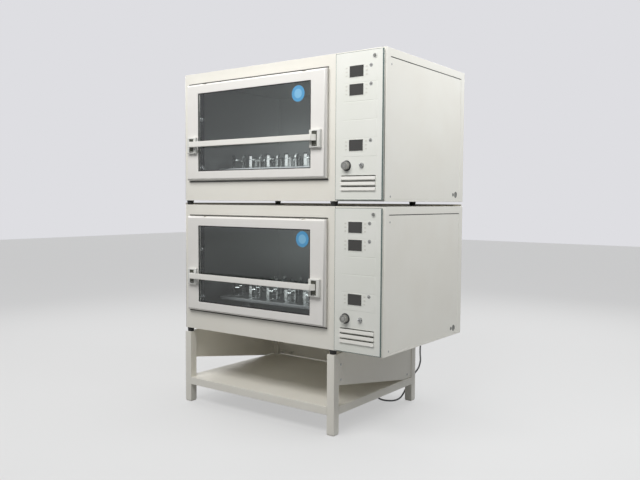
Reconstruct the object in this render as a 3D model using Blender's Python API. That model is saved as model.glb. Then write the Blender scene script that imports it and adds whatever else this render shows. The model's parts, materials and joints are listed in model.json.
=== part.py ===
"""Stacked pair of benchtop shaking incubators on a low steel stand, in metres, +Z up.

Each unit is a sheet-steel cabinet with a top-hinged window door, a chamber liner, an orbital
shaking drive under a flask platform, a circulation fan and a control column on its right.
The front faces -Y. The origin is below the middle of the stack, on the floor.
"""

from math import atan2, cos, pi, radians, sin

import bpy
import bmesh
from mathutils import Matrix, Vector
from mathutils.geometry import interpolate_bezier

# Overall sizes
UNIT_WIDTH = 1.100
UNIT_DEPTH = 0.685
UNIT_HEIGHT = 0.583
CHAMBER_WIDTH = 0.870
STAND_HEIGHT = 0.335
FOOT_HEIGHT = 0.020
FIT = 0.0003
RUN = 0.0007
SINK = 0.001
BEYOND = 0.001

# Cabinet shell
SKIN = 0.002
LIP_THICKNESS = 0.0045
COVER_THICKNESS = 0.002
LIP_WIDTH = 0.015
CORNER_RADIUS = 0.008
MOUTH_LEFT = 0.090
MOUTH_RIGHT = CHAMBER_WIDTH - 0.088
MOUTH_BOTTOM = 0.120
MOUTH_TOP = UNIT_HEIGHT - 0.085
BAY_EDGE = 0.012
SIDE_COVER_FRONT = 0.035
SIDE_COVER_REAR = UNIT_DEPTH - 0.035
SIDE_COVER_BOTTOM = 0.008
SIDE_COVER_TOP = UNIT_HEIGHT - 0.034
SIDE_COVER_GAP = 0.003
PORT_HEIGHT = 0.032
SMALL_PORT_DEPTH = 0.586
SMALL_PORT_RADIUS = 0.006
LARGE_PORT_DEPTH = 0.612
LARGE_PORT_RADIUS = 0.012

# Door
DOOR_LEFT = 0.035
DOOR_RIGHT = CHAMBER_WIDTH - 0.035
DOOR_BOTTOM = 0.092
DOOR_TOP = UNIT_HEIGHT - 0.053
DOOR_THICKNESS = 0.018
DOOR_STANDOFF = 0.004
DOOR_BEVEL_WIDTH = 0.008
DOOR_BEVEL_DEPTH = 0.009
WINDOW_LEFT = 0.111
WINDOW_RIGHT = DOOR_RIGHT - 0.075
WINDOW_BOTTOM = 0.133
WINDOW_TOP = DOOR_TOP - 0.043
WINDOW_LIP = 0.003
GLASS_THICKNESS = 0.005
GLASS_MARGIN = 0.008
GASKET_WIDTH = 0.012
GASKET_GAP = 0.002
HINGE_HEIGHT = DOOR_TOP - 0.008
HINGE_REACH = 0.012
HINGE_TAB_RADIUS = 0.005
HINGE_TAB_WIDTH = 0.012
HINGE_PIN_RADIUS = 0.0025
HINGE_INSET = 0.115
HINGE_NOTCH_GAP = 0.004
HINGE_NOTCH_REACH = 0.006

# Handle and its two blocks
BLOCK_WIDTH = 0.054
BLOCK_INSET = 0.019
BLOCK_BOTTOM = 0.214
BLOCK_TOP = 0.287
BLOCK_PROUD = 0.014
BLOCK_WALL = 0.014
BLOCK_FLOOR = 0.002
BLOCK_SILL = 0.006
BLOCK_CHAMFER = 0.002
BAR_BOTTOM = 0.242
BAR_TOP = 0.267
BAR_THICKNESS = 0.009
BAR_REACH = 0.034
BAR_BEND = 0.024
BAR_CLEARANCE = 0.0015
BAR_CHAMFER = 0.0015
LUG_FRONT = 0.0045
LUG_REAR = 0.0025
HANDLE_PIVOT_HEIGHT = 0.228
HANDLE_PIVOT_REACH = 0.007
HANDLE_PIN_RADIUS = 0.003

# Chamber liner
LINER_SKIN = 0.002
LINER_LEFT = 0.043
LINER_RIGHT = CHAMBER_WIDTH - 0.041
LINER_BOTTOM = 0.060
LINER_TOP = UNIT_HEIGHT - 0.036
LINER_REAR = UNIT_DEPTH - 0.043
HOUSING_RADIUS = 0.032
HOUSING_HEIGHT = 0.036
SHAFT_RADIUS = 0.010
FAN_ACROSS = LINER_RIGHT - 0.139
FAN_HEIGHT = LINER_TOP - 0.117
FAN_RING_RADIUS = 0.074
FAN_RING_WALL = 0.003
FAN_RING_DEPTH = 0.032
FAN_MOTOR_RADIUS = 0.026
FAN_MOTOR_LENGTH = 0.030
FAN_SHAFT_RADIUS = 0.004
FAN_HUB_RADIUS = 0.018
FAN_BLADES = 6
FAN_BLADE_THICKNESS = 0.0012
FAN_TIP_GAP = 0.004
FAN_ROOT_CHORD = 0.014
FAN_TIP_CHORD = 0.034
FAN_ROOT_TWIST = radians(50)
FAN_TIP_TWIST = radians(28)

# Orbital drive and platform
DRIVE_ACROSS = (LINER_LEFT + LINER_RIGHT) / 2
DRIVE_DEPTH = LINER_REAR - 0.192
IDLER_SPREAD = 0.220
IDLER_DEPTH = 0.205
MOTOR_ACROSS = DRIVE_ACROSS + 0.214
ORBIT_RADIUS = 0.0125
DRIVE_PULLEY_RADIUS = 0.080
MOTOR_PULLEY_RADIUS = 0.027
PULLEY_FLANGE = 0.004
PULLEY_FLANGE_THICKNESS = 0.002
BELT_WIDTH = 0.010
BELT_THICKNESS = 0.003
BELT_CLEARANCE = 0.001
IDLER_WEB_RADIUS = 0.030
CRANK_PIN_RADIUS = 0.009
COUNTERWEIGHT_HEIGHT = 0.011
COUNTERWEIGHT_INNER = 0.040
COUNTERWEIGHT_SPAN = radians(140)
BUSH_RADIUS = 0.018
PLATFORM_WIDTH = LINER_RIGHT - LINER_LEFT - 0.146
PLATFORM_DEPTH = LINER_REAR - 0.172
PLATFORM_FRONT = 0.100
PLATFORM_TOP = 0.150
PLATFORM_PLATE = 0.004
PLATFORM_RIM = 0.014
PLATFORM_WALL = 0.003
CLAMP_COLUMNS = 6
CLAMP_ROWS = 3
CLAMP_RADIUS = 0.034
CLAMP_BASE = 0.003
CLAMP_FINGER = 0.034
CLAMP_FINGER_WALL = 0.002
CLAMP_FLARE = 0.002
MOTOR_FLANGE = 0.100
MOTOR_FLANGE_THICKNESS = 0.006
MOTOR_RADIUS = 0.045
MOTOR_LENGTH = 0.044
MOTOR_SHAFT_RADIUS = 0.007
MOTOR_SHAFT_DROP = 0.024

# Control column
PANEL_LEFT = CHAMBER_WIDTH + 0.008
PANEL_RIGHT = UNIT_WIDTH - 0.007
PANEL_BOTTOM = 0.006
PANEL_TOP = UNIT_HEIGHT - 0.007
PANEL_WIDTH = PANEL_RIGHT - PANEL_LEFT
PANEL_DEPTH = 0.012
PANEL_WALL = 0.003
DISPLAY_LEFT = PANEL_LEFT + PANEL_WIDTH * 0.298
DISPLAY_WIDTH = PANEL_WIDTH * 0.302
DISPLAY_HEIGHT = 0.044
DISPLAY_BOTTOMS = (PANEL_TOP - 0.097, PANEL_TOP - 0.167, PANEL_TOP - 0.381)
DISPLAY_RECESS = 0.0015
MODULE_LEFT = PANEL_LEFT + PANEL_WIDTH * 0.172
MODULE_RIGHT = PANEL_LEFT + PANEL_WIDTH * 0.884
MODULE_ABOVE = 0.003
MODULE_BELOW = 0.021
MODULE_PROUD = 0.0006
MODULE_PLACES = 5
LOUVRE_LEFT = PANEL_LEFT + PANEL_WIDTH * 0.126
LOUVRE_RIGHT = PANEL_LEFT + PANEL_WIDTH * 0.870
LOUVRE_TOPS = (0.101, 0.080, 0.059)
LOUVRE_SLIT = 0.004
LOUVRE_LIP = 0.013
LOUVRE_PROUD = 0.0035
DIAL_ACROSS = PANEL_LEFT + PANEL_WIDTH * 0.2465
DIAL_HEIGHT = 0.139
DIAL_RADIUS = 0.021
DIAL_DEPTH = 0.020
DIAL_SHAFT_RADIUS = 0.003
DIAL_SKIRT = 0.003
DIAL_CHAMFER = 0.0015
DIAL_SHAFT_END = 0.004
TOGGLE_ACROSS = PANEL_LEFT + PANEL_WIDTH * 0.572
TOGGLE_HEIGHT = 0.139
TOGGLE_NUT_RADIUS = 0.0085
TOGGLE_NUT_DEPTH = 0.006
TOGGLE_BORE_RADIUS = 0.005
TOGGLE_LEVER_LENGTH = 0.016
TOGGLE_ROOT_RADIUS = 0.0015
TOGGLE_TIP_RADIUS = 0.0023
TOGGLE_TILT = radians(13)
BUTTON_ACROSS = PANEL_RIGHT - 0.036
BUTTON_HEIGHT = PANEL_TOP - 0.024
BUTTON_RADIUS = 0.006
BUTTON_PROUD = 0.003
BUTTON_FLANGE = 0.002
BUTTON_FLANGE_RIM = 0.0015
BUTTON_CHAMFER = 0.0008

# Rear cover
REAR_SLOT_WIDTH = (UNIT_WIDTH - CHAMBER_WIDTH) * 0.52
REAR_SLOT_HEIGHT = 0.005
REAR_SLOT_PITCH = 0.014
REAR_SLOTS = 5
REAR_VENT_HEIGHTS = (0.22, 0.72)
INLET_ACROSS = CHAMBER_WIDTH + 0.022
INLET_HEIGHT = 0.052
INLET_WIDTH = 0.028
INLET_TALL = 0.020
INLET_DEPTH = 0.022
INLET_WALL = 0.002

# Feet and stand
FOOT_RADIUS = 0.016
FOOT_INSET = 0.018
LEG_WIDTH = 0.036
FOOT_PAD_HEIGHT = 0.006
FOOT_PAD_STEP = 0.002
SHELF_TOP = 0.117
SHELF_FASCIA = 0.034
SHELF_SHEET = 0.003
SIDE_PLATE_THICKNESS = 0.003
SIDE_PLATE_INSET = 0.003
SIDE_PLATE_FRONT_HEIGHT = 0.205
SIDE_PLATE_STEP_DEPTH = 0.575
BACK_PLATE_THICKNESS = 0.003

# Power lead of the lower unit
CORD_RADIUS = 0.004
CORD_POINT_SPACING = 0.0224
RELIEF_LENGTH = 0.036
RELIEF_ROOT_RADIUS = 0.0076
RELIEF_TIP_RADIUS = 0.0046
CONNECTOR_LENGTH = 0.022
COIL_ACROSS = 0.620
COIL_DEPTH = 0.760
COIL_RADIUS = 0.046
COIL_TURNS_WIDE = 2
COIL_TURNS_HIGH = 2
PLUG_LENGTH = 0.046
PLUG_WIDTH = 0.026
PLUG_HEIGHT = 0.022
PLUG_PLACE = radians(62)
PLUG_TURN = radians(167)
BLADE_LENGTH = 0.016
BLADE_WIDTH = 0.006
BLADE_THICKNESS = 0.0015
BLADE_SPREAD = 0.0063
EXIT_STRAIGHT = 0.012
EXIT_BEND = 0.042

# Worked out from the sizes above
STACK_FRONT = -(DOOR_STANDOFF + DOOR_THICKNESS + BAR_REACH)
STACK_MIDDLE = Vector((UNIT_WIDTH / 2, (UNIT_DEPTH + STACK_FRONT) / 2, 0))
LOWER_BASE = STAND_HEIGHT + FOOT_HEIGHT
UPPER_BASE = LOWER_BASE + UNIT_HEIGHT + FOOT_HEIGHT
DOOR_FACE = -(DOOR_STANDOFF + DOOR_THICKNESS)
LINER_FRONT = SKIN + FIT
LINER_FLOOR = LINER_BOTTOM + LINER_SKIN
HOUSING_TOP = LINER_FLOOR + HOUSING_HEIGHT
WEB_BOTTOM = HOUSING_TOP + FIT
BELT_BOTTOM = WEB_BOTTOM + PULLEY_FLANGE_THICKNESS
WEB_TOP = BELT_BOTTOM + BELT_WIDTH + 2 * BELT_CLEARANCE + PULLEY_FLANGE_THICKNESS
PLATFORM_UNDER = PLATFORM_TOP - PLATFORM_PLATE
PANEL_FACE = -PANEL_DEPTH
PANEL_BACK = PANEL_FACE + PANEL_WALL
REAR_FACE = UNIT_DEPTH


def paint(name, colour, roughness, metallic=0.0):
    """A Principled surface of one colour, given as linear red, green and blue."""
    surface = bpy.data.materials.new(name)
    surface.use_nodes = True
    shader = surface.node_tree.nodes["Principled BSDF"]
    shader.inputs["Base Color"].default_value = (*colour, 1)
    shader.inputs["Roughness"].default_value = roughness
    shader.inputs["Metallic"].default_value = metallic
    surface.diffuse_color = (*colour, 1)
    return surface


def box(shape, low, high):
    """Adds a block between two corners."""
    size = Vector(high) - Vector(low)
    middle = (Vector(high) + Vector(low)) / 2
    bmesh.ops.create_cube(shape, size=1, matrix=Matrix.Translation(middle) @ Matrix.Diagonal((*size, 1)))


def rod(shape, start, end, radius, end_radius=None, sides=16):
    """Adds a round bar or a taper from one point to another."""
    start, end = Vector(start), Vector(end)
    turn = (end - start).to_track_quat("Z", "Y").to_matrix().to_4x4()
    place = Matrix.Translation((start + end) / 2) @ turn
    bmesh.ops.create_cone(
        shape,
        cap_ends=True,
        segments=sides,
        radius1=radius,
        radius2=radius if end_radius is None else end_radius,
        depth=(end - start).length,
        matrix=place,
    )


def chamfer(shape, edges, width):
    """Breaks sharp edges with one flat cut."""
    bmesh.ops.bevel(shape, geom=edges, offset=width, segments=1, profile=0.5, affect="EDGES", material=-1)


def turned(shape, profile, centre, axis, steps):
    """Adds a profile spun once round an axis."""
    points = [shape.verts.new(point) for point in profile]
    edges = [shape.edges.new(pair) for pair in zip(points, points[1:])]
    bmesh.ops.spin(shape, geom=points + edges, cent=centre, axis=axis, angle=2 * pi, steps=steps, use_merge=True)
    bmesh.ops.remove_doubles(shape, verts=shape.verts, dist=1e-6)


def slab(shape, outline, across, low, high):
    """Adds a closed outline, drawn on the plane across an axis, extruded from low to high."""
    order = {"X": (2, 0, 1), "Y": (0, 2, 1), "Z": (0, 1, 2)}[across]
    corners = [(*point, low) for point in outline]
    ring = [shape.verts.new([corner[i] for i in order]) for corner in corners]
    lift = Vector([(0, 0, high - low)[i] for i in order])
    grown = bmesh.ops.extrude_face_region(shape, geom=[shape.faces.new(ring)])
    raised = [item for item in grown["geom"] if isinstance(item, bmesh.types.BMVert)]
    bmesh.ops.translate(shape, verts=raised, vec=lift)


def arc(centre, radius, start, end, steps):
    """Points along an arc, both ends included, with angles in radians."""
    angles = [start + (end - start) * step / steps for step in range(steps + 1)]
    return [(centre[0] + radius * cos(a), centre[1] + radius * sin(a)) for a in angles]


def place(name, shape, surface, unit, origin=(0, 0, 0)):
    """Makes a named object whose own origin stands at a point of its unit."""
    bmesh.ops.recalc_face_normals(shape, faces=shape.faces)
    bmesh.ops.translate(shape, verts=shape.verts, vec=-Vector(origin))
    mesh = bpy.data.meshes.new(name)
    shape.to_mesh(mesh)
    shape.free()
    mesh.materials.append(surface)
    mesh.shade_smooth()
    mesh.set_sharp_from_angle(angle=radians(35))
    piece = bpy.data.objects.new(name, mesh)
    bpy.context.collection.objects.link(piece)
    piece.parent = unit
    piece.location = origin
    return piece


def combine(piece, shape, operation):
    """Cuts a shape out of a piece, or joins it on, with a live Boolean."""
    number = len(piece.modifiers) + 1
    name = f"{piece.name}_{operation.lower()}_{number}"
    tool = place(name, shape, piece.data.materials[0], piece.parent, piece.location)
    tool.hide_render = True
    tool.display_type = "WIRE"
    step = piece.modifiers.new(name, "BOOLEAN")
    step.operation = operation
    step.solver = "EXACT"
    step.object = tool


def cut(piece, shape):
    combine(piece, shape, "DIFFERENCE")


def join(piece, shape):
    combine(piece, shape, "UNION")


def hinge_places():
    """The two hinge positions, measured along the door."""
    return (DOOR_LEFT + HINGE_INSET, DOOR_RIGHT - HINGE_INSET)


def make_cabinet(name, unit):
    """One welded shell: sides, top, base, front face and the wall beside the control column."""
    r = CORNER_RADIUS
    outline = [
        *arc((r, r), r, pi, 1.5 * pi, 4),
        *arc((UNIT_WIDTH - r, r), r, 1.5 * pi, 2 * pi, 4),
        (UNIT_WIDTH, UNIT_DEPTH),
        (0, UNIT_DEPTH),
    ]
    shape = bmesh.new()
    slab(shape, outline, "Z", 0, UNIT_HEIGHT)
    cabinet = place(name, shape, CREAM, unit)

    hollow = bmesh.new()
    inner_rear = UNIT_DEPTH - LIP_THICKNESS
    inner_right = UNIT_WIDTH - LIP_THICKNESS
    inner_top = UNIT_HEIGHT - SKIN
    box(hollow, (SKIN, SKIN, SKIN), (CHAMBER_WIDTH - SKIN, inner_rear, inner_top))
    box(hollow, (CHAMBER_WIDTH, SKIN, SKIN), (inner_right, inner_rear, inner_top))
    cut(cabinet, hollow)

    seats = bmesh.new()
    edge = SKIN - FIT
    box(
        seats,
        (edge, UNIT_DEPTH - COVER_THICKNESS - FIT, edge),
        (UNIT_WIDTH - edge, UNIT_DEPTH + BEYOND, UNIT_HEIGHT - edge),
    )
    box(
        seats,
        (UNIT_WIDTH - COVER_THICKNESS - FIT, SIDE_COVER_FRONT - FIT, SIDE_COVER_BOTTOM - FIT),
        (UNIT_WIDTH + BEYOND, SIDE_COVER_REAR + FIT, SIDE_COVER_TOP + SIDE_COVER_GAP),
    )
    cut(cabinet, seats)

    mouths = bmesh.new()
    box(mouths, (MOUTH_LEFT, -BEYOND, MOUTH_BOTTOM), (MOUTH_RIGHT, SKIN + BEYOND, MOUTH_TOP))
    box(
        mouths,
        (PANEL_LEFT + BAY_EDGE, -BEYOND, PANEL_BOTTOM + BAY_EDGE),
        (PANEL_RIGHT - BAY_EDGE, SKIN + BEYOND, PANEL_TOP - BAY_EDGE),
    )
    rear_low, rear_high = inner_rear - BEYOND, UNIT_DEPTH + BEYOND
    box(
        mouths,
        (LIP_WIDTH, rear_low, LIP_WIDTH),
        (UNIT_WIDTH - LIP_WIDTH - LIP_THICKNESS, rear_high, UNIT_HEIGHT - LIP_WIDTH),
    )
    box(
        mouths,
        (inner_right - BEYOND, SIDE_COVER_FRONT + LIP_WIDTH, SIDE_COVER_BOTTOM + LIP_WIDTH),
        (UNIT_WIDTH + BEYOND, SIDE_COVER_REAR - LIP_WIDTH, SIDE_COVER_TOP - LIP_WIDTH),
    )
    cut(cabinet, mouths)

    tabs, bores = bmesh.new(), bmesh.new()
    profile = [
        (SKIN / 2, HINGE_HEIGHT - HINGE_TAB_RADIUS),
        (SKIN / 2, HINGE_HEIGHT + HINGE_TAB_RADIUS),
        *arc((-HINGE_REACH, HINGE_HEIGHT), HINGE_TAB_RADIUS, pi / 2, 1.5 * pi, 8),
    ]
    for middle in hinge_places():
        half = HINGE_TAB_WIDTH / 2
        slab(tabs, profile, "X", middle - half, middle + half)
        axis = (-HINGE_REACH, HINGE_HEIGHT)
        rod(bores, (middle - 2 * half, *axis), (middle + 2 * half, *axis), HINGE_PIN_RADIUS + RUN, sides=12)
    join(cabinet, tabs)
    cut(cabinet, bores)


def make_covers(prefix, unit):
    """The screwed-on rear and right-hand covers."""
    edge = SKIN
    rear = bmesh.new()
    box(rear, (edge, REAR_FACE - COVER_THICKNESS, edge), (UNIT_WIDTH - edge, REAR_FACE, UNIT_HEIGHT - edge))
    rear_cover = place(prefix + "rear_cover", rear, CREAM, unit)
    well = bmesh.new()
    box(
        well,
        (INLET_ACROSS - INLET_WIDTH / 2 - INLET_WALL, REAR_FACE - INLET_DEPTH - INLET_WALL,
         INLET_HEIGHT - INLET_TALL / 2 - INLET_WALL),
        (INLET_ACROSS + INLET_WIDTH / 2 + INLET_WALL, REAR_FACE - COVER_THICKNESS / 2,
         INLET_HEIGHT + INLET_TALL / 2 + INLET_WALL),
    )
    join(rear_cover, well)
    holes = bmesh.new()
    box(
        holes,
        (INLET_ACROSS - INLET_WIDTH / 2, REAR_FACE - INLET_DEPTH, INLET_HEIGHT - INLET_TALL / 2),
        (INLET_ACROSS + INLET_WIDTH / 2, REAR_FACE + BEYOND, INLET_HEIGHT + INLET_TALL / 2),
    )
    column_middle = (CHAMBER_WIDTH + UNIT_WIDTH) / 2
    for share in REAR_VENT_HEIGHTS:
        for slot in range(REAR_SLOTS):
            low = UNIT_HEIGHT * share + slot * REAR_SLOT_PITCH
            box(
                holes,
                (column_middle - REAR_SLOT_WIDTH / 2, REAR_FACE - COVER_THICKNESS - BEYOND, low),
                (column_middle + REAR_SLOT_WIDTH / 2, REAR_FACE + BEYOND, low + REAR_SLOT_HEIGHT),
            )
    cut(rear_cover, holes)

    side = bmesh.new()
    box(
        side,
        (UNIT_WIDTH - COVER_THICKNESS, SIDE_COVER_FRONT, SIDE_COVER_BOTTOM),
        (UNIT_WIDTH, SIDE_COVER_REAR, SIDE_COVER_TOP),
    )
    side_cover = place(prefix + "side_cover", side, CREAM, unit)
    ports = bmesh.new()
    for depth, radius in ((SMALL_PORT_DEPTH, SMALL_PORT_RADIUS), (LARGE_PORT_DEPTH, LARGE_PORT_RADIUS)):
        rod(
            ports,
            (UNIT_WIDTH - 2 * COVER_THICKNESS, depth, PORT_HEIGHT),
            (UNIT_WIDTH + COVER_THICKNESS, depth, PORT_HEIGHT),
            radius,
            sides=16,
        )
    cut(side_cover, ports)


def make_liner(name, unit):
    """The chamber tub, with its bearing housings, fan ring and fan motor."""
    shape = bmesh.new()
    box(shape, (LINER_LEFT, LINER_FRONT, LINER_BOTTOM), (LINER_RIGHT, LINER_REAR, LINER_TOP))
    liner = place(name, shape, STEEL, unit)
    hollow = bmesh.new()
    box(
        hollow,
        (LINER_LEFT + LINER_SKIN, LINER_FRONT + LINER_SKIN, LINER_FLOOR),
        (LINER_RIGHT - LINER_SKIN, LINER_REAR - LINER_SKIN, LINER_TOP - LINER_SKIN),
    )
    cut(liner, hollow)

    fittings = bmesh.new()
    sink = LINER_SKIN / 2
    for x, y in crank_places():
        rod(fittings, (x, y, LINER_FLOOR - sink), (x, y, HOUSING_TOP), HOUSING_RADIUS, sides=12)
    rear_wall = LINER_REAR - LINER_SKIN
    fan = (FAN_ACROSS, FAN_HEIGHT)
    rod(
        fittings,
        (fan[0], rear_wall - FAN_RING_DEPTH, fan[1]),
        (fan[0], rear_wall + sink, fan[1]),
        FAN_RING_RADIUS + FAN_RING_WALL,
        sides=20,
    )
    join(liner, fittings)
    motor = bmesh.new()
    rod(
        motor,
        (fan[0], rear_wall + sink, fan[1]),
        (fan[0], LINER_REAR + FAN_MOTOR_LENGTH, fan[1]),
        FAN_MOTOR_RADIUS,
        sides=16,
    )
    join(liner, motor)

    bores = bmesh.new()
    mouth_front, mouth_back = LINER_FRONT - BEYOND, LINER_FRONT + 2 * LINER_SKIN
    box(bores, (MOUTH_LEFT, mouth_front, MOUTH_BOTTOM), (MOUTH_RIGHT, mouth_back, MOUTH_TOP))
    for x, y in crank_places():
        rod(bores, (x, y, LINER_FLOOR + SKIN), (x, y, HOUSING_TOP + BEYOND), SHAFT_RADIUS + RUN, sides=12)
    rod(
        bores,
        (MOTOR_ACROSS, DRIVE_DEPTH, LINER_BOTTOM - BEYOND),
        (MOTOR_ACROSS, DRIVE_DEPTH, LINER_FLOOR + BEYOND),
        MOTOR_SHAFT_RADIUS + 2 * RUN,
        sides=16,
    )
    rod(
        bores,
        (fan[0], rear_wall - FAN_RING_DEPTH - BEYOND, fan[1]),
        (fan[0], rear_wall, fan[1]),
        FAN_RING_RADIUS,
        sides=20,
    )
    cut(liner, bores)
    shaft = bmesh.new()
    rod(
        shaft,
        (fan[0], rear_wall - BEYOND, fan[1]),
        (fan[0], LINER_REAR + FAN_MOTOR_LENGTH / 2, fan[1]),
        FAN_SHAFT_RADIUS + RUN,
        sides=16,
    )
    cut(liner, shaft)


def crank_places():
    """The drive crank and the two idler cranks, on the chamber floor."""
    return (
        (DRIVE_ACROSS, DRIVE_DEPTH),
        (DRIVE_ACROSS - IDLER_SPREAD, IDLER_DEPTH),
        (DRIVE_ACROSS + IDLER_SPREAD, IDLER_DEPTH),
    )


def make_fan_rotor(name, unit):
    """Hub, shaft and twisted blades, turning about an axis along Y."""
    rear_wall = LINER_REAR - LINER_SKIN
    axis_back = (FAN_ACROSS, rear_wall - FIT, FAN_HEIGHT)
    hub_front = rear_wall - FAN_RING_DEPTH * 0.75
    shape = bmesh.new()
    rod(shape, (FAN_ACROSS, hub_front, FAN_HEIGHT), axis_back, FAN_HUB_RADIUS, sides=16)
    rotor = place(name, shape, DARK_PLASTIC, unit, axis_back)
    shaft = bmesh.new()
    rod(
        shaft,
        (FAN_ACROSS, rear_wall - FAN_RING_DEPTH / 2, FAN_HEIGHT),
        (FAN_ACROSS, LINER_REAR + FAN_MOTOR_LENGTH / 2 - 2 * FIT, FAN_HEIGHT),
        FAN_SHAFT_RADIUS,
        sides=16,
    )
    join(rotor, shaft)
    blades = bmesh.new()
    sections = (
        (FAN_HUB_RADIUS - 2 * SINK, FAN_ROOT_CHORD / 2, FAN_ROOT_TWIST),
        (FAN_RING_RADIUS - FAN_TIP_GAP, FAN_TIP_CHORD / 2, FAN_TIP_TWIST),
    )
    half_thick = FAN_BLADE_THICKNESS / 2
    middle = (hub_front + rear_wall) / 2
    for number in range(FAN_BLADES):
        corners = []
        for reach, half_chord, twist in sections:
            for side in (-1, 1):
                corners.append((reach, side * half_chord * cos(twist), side * half_chord * sin(twist)))
        low = [blades.verts.new((x, y, z - half_thick)) for x, y, z in corners]
        high = [blades.verts.new((x, y, z + half_thick)) for x, y, z in corners]
        loop = (0, 1, 3, 2)
        blades.faces.new([low[i] for i in loop])
        blades.faces.new([high[i] for i in reversed(loop)])
        for a, b in zip(loop, (*loop[1:], loop[0])):
            blades.faces.new((low[b], low[a], high[a], high[b]))
        turn = Matrix.Rotation(2 * pi * number / FAN_BLADES, 4, "Y") @ Matrix.Rotation(radians(90), 4, "X")
        seat = Matrix.Translation((FAN_ACROSS, middle, FAN_HEIGHT)) @ turn
        bmesh.ops.transform(blades, matrix=seat, verts=low + high)
    join(rotor, blades)


def make_door(prefix, unit):
    """Door frame with its hinge pins, the window pane, and the seal on the cabinet."""
    w, d = DOOR_BEVEL_WIDTH, DOOR_BEVEL_DEPTH
    hinge = (0, -HINGE_REACH, HINGE_HEIGHT)
    shape = bmesh.new()
    back = -DOOR_STANDOFF
    box(shape, (DOOR_LEFT, DOOR_FACE, DOOR_BOTTOM), (DOOR_RIGHT, back, DOOR_TOP))
    middle_x, middle_z = (DOOR_LEFT + DOOR_RIGHT) / 2, (DOOR_BOTTOM + DOOR_TOP) / 2
    middle_y = (DOOR_FACE + back) / 2
    front = [v for v in shape.verts if v.co.y < middle_y]
    for vert in front:
        vert.co.x += w if vert.co.x < middle_x else -w
        vert.co.z += w if vert.co.z < middle_z else -w
    edge_faces = [f for f in shape.faces if abs(f.calc_center_median().y - middle_y) < DOOR_THICKNESS / 4]
    ring = bmesh.ops.bisect_plane(
        shape,
        geom=[*shape.verts, *shape.edges, *edge_faces],
        plane_co=(0, DOOR_FACE + d, 0),
        plane_no=(0, 1, 0),
    )
    for item in ring["geom_cut"]:
        if isinstance(item, bmesh.types.BMVert):
            item.co.x = DOOR_LEFT if item.co.x < middle_x else DOOR_RIGHT
            item.co.z = DOOR_BOTTOM if item.co.z < middle_z else DOOR_TOP
    frame = place(prefix + "door_frame", shape, DOOR_WHITE, unit, hinge)

    window = bmesh.new()
    box(window, (WINDOW_LEFT, DOOR_FACE - BEYOND, WINDOW_BOTTOM), (WINDOW_RIGHT, back + BEYOND, WINDOW_TOP))
    cut(frame, window)
    rebate = bmesh.new()
    m = GLASS_MARGIN
    box(
        rebate,
        (WINDOW_LEFT - m, DOOR_FACE + WINDOW_LIP, WINDOW_BOTTOM - m),
        (WINDOW_RIGHT + m, DOOR_FACE + WINDOW_LIP + GLASS_THICKNESS + 2 * FIT, WINDOW_TOP + m),
    )
    cut(frame, rebate)
    notches = bmesh.new()
    pins = bmesh.new()
    half = HINGE_TAB_WIDTH / 2 + HINGE_NOTCH_GAP
    reach = HINGE_NOTCH_REACH
    for middle in hinge_places():
        box(
            notches,
            (middle - half, -HINGE_REACH - reach, HINGE_HEIGHT - reach),
            (middle + half, back + BEYOND, DOOR_TOP + BEYOND),
        )
        axis = (-HINGE_REACH, HINGE_HEIGHT)
        rod(pins, (middle - half - BEYOND, *axis), (middle + half + BEYOND, *axis), HINGE_PIN_RADIUS, sides=12)
    cut(frame, notches)
    join(frame, pins)

    pane = bmesh.new()
    g = GLASS_MARGIN - FIT
    box(
        pane,
        (WINDOW_LEFT - g, DOOR_FACE + WINDOW_LIP + FIT, WINDOW_BOTTOM - g),
        (WINDOW_RIGHT + g, DOOR_FACE + WINDOW_LIP + FIT + GLASS_THICKNESS, WINDOW_TOP + g),
    )
    place(prefix + "door_glass", pane, SMOKED_GLASS, unit, hinge)

    seal = bmesh.new()
    inner = GASKET_GAP
    outer = GASKET_GAP + GASKET_WIDTH
    seal_front, seal_back = back + FIT, -FIT
    box(
        seal,
        (MOUTH_LEFT - outer, seal_front, MOUTH_BOTTOM - outer),
        (MOUTH_RIGHT + outer, seal_back, MOUTH_TOP + outer),
    )
    gasket = place(prefix + "door_gasket", seal, BLACK_RUBBER, unit)
    middle = bmesh.new()
    box(
        middle,
        (MOUTH_LEFT - inner, seal_front - BEYOND, MOUTH_BOTTOM - inner),
        (MOUTH_RIGHT + inner, seal_back + BEYOND, MOUTH_TOP + inner),
    )
    cut(gasket, middle)


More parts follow.
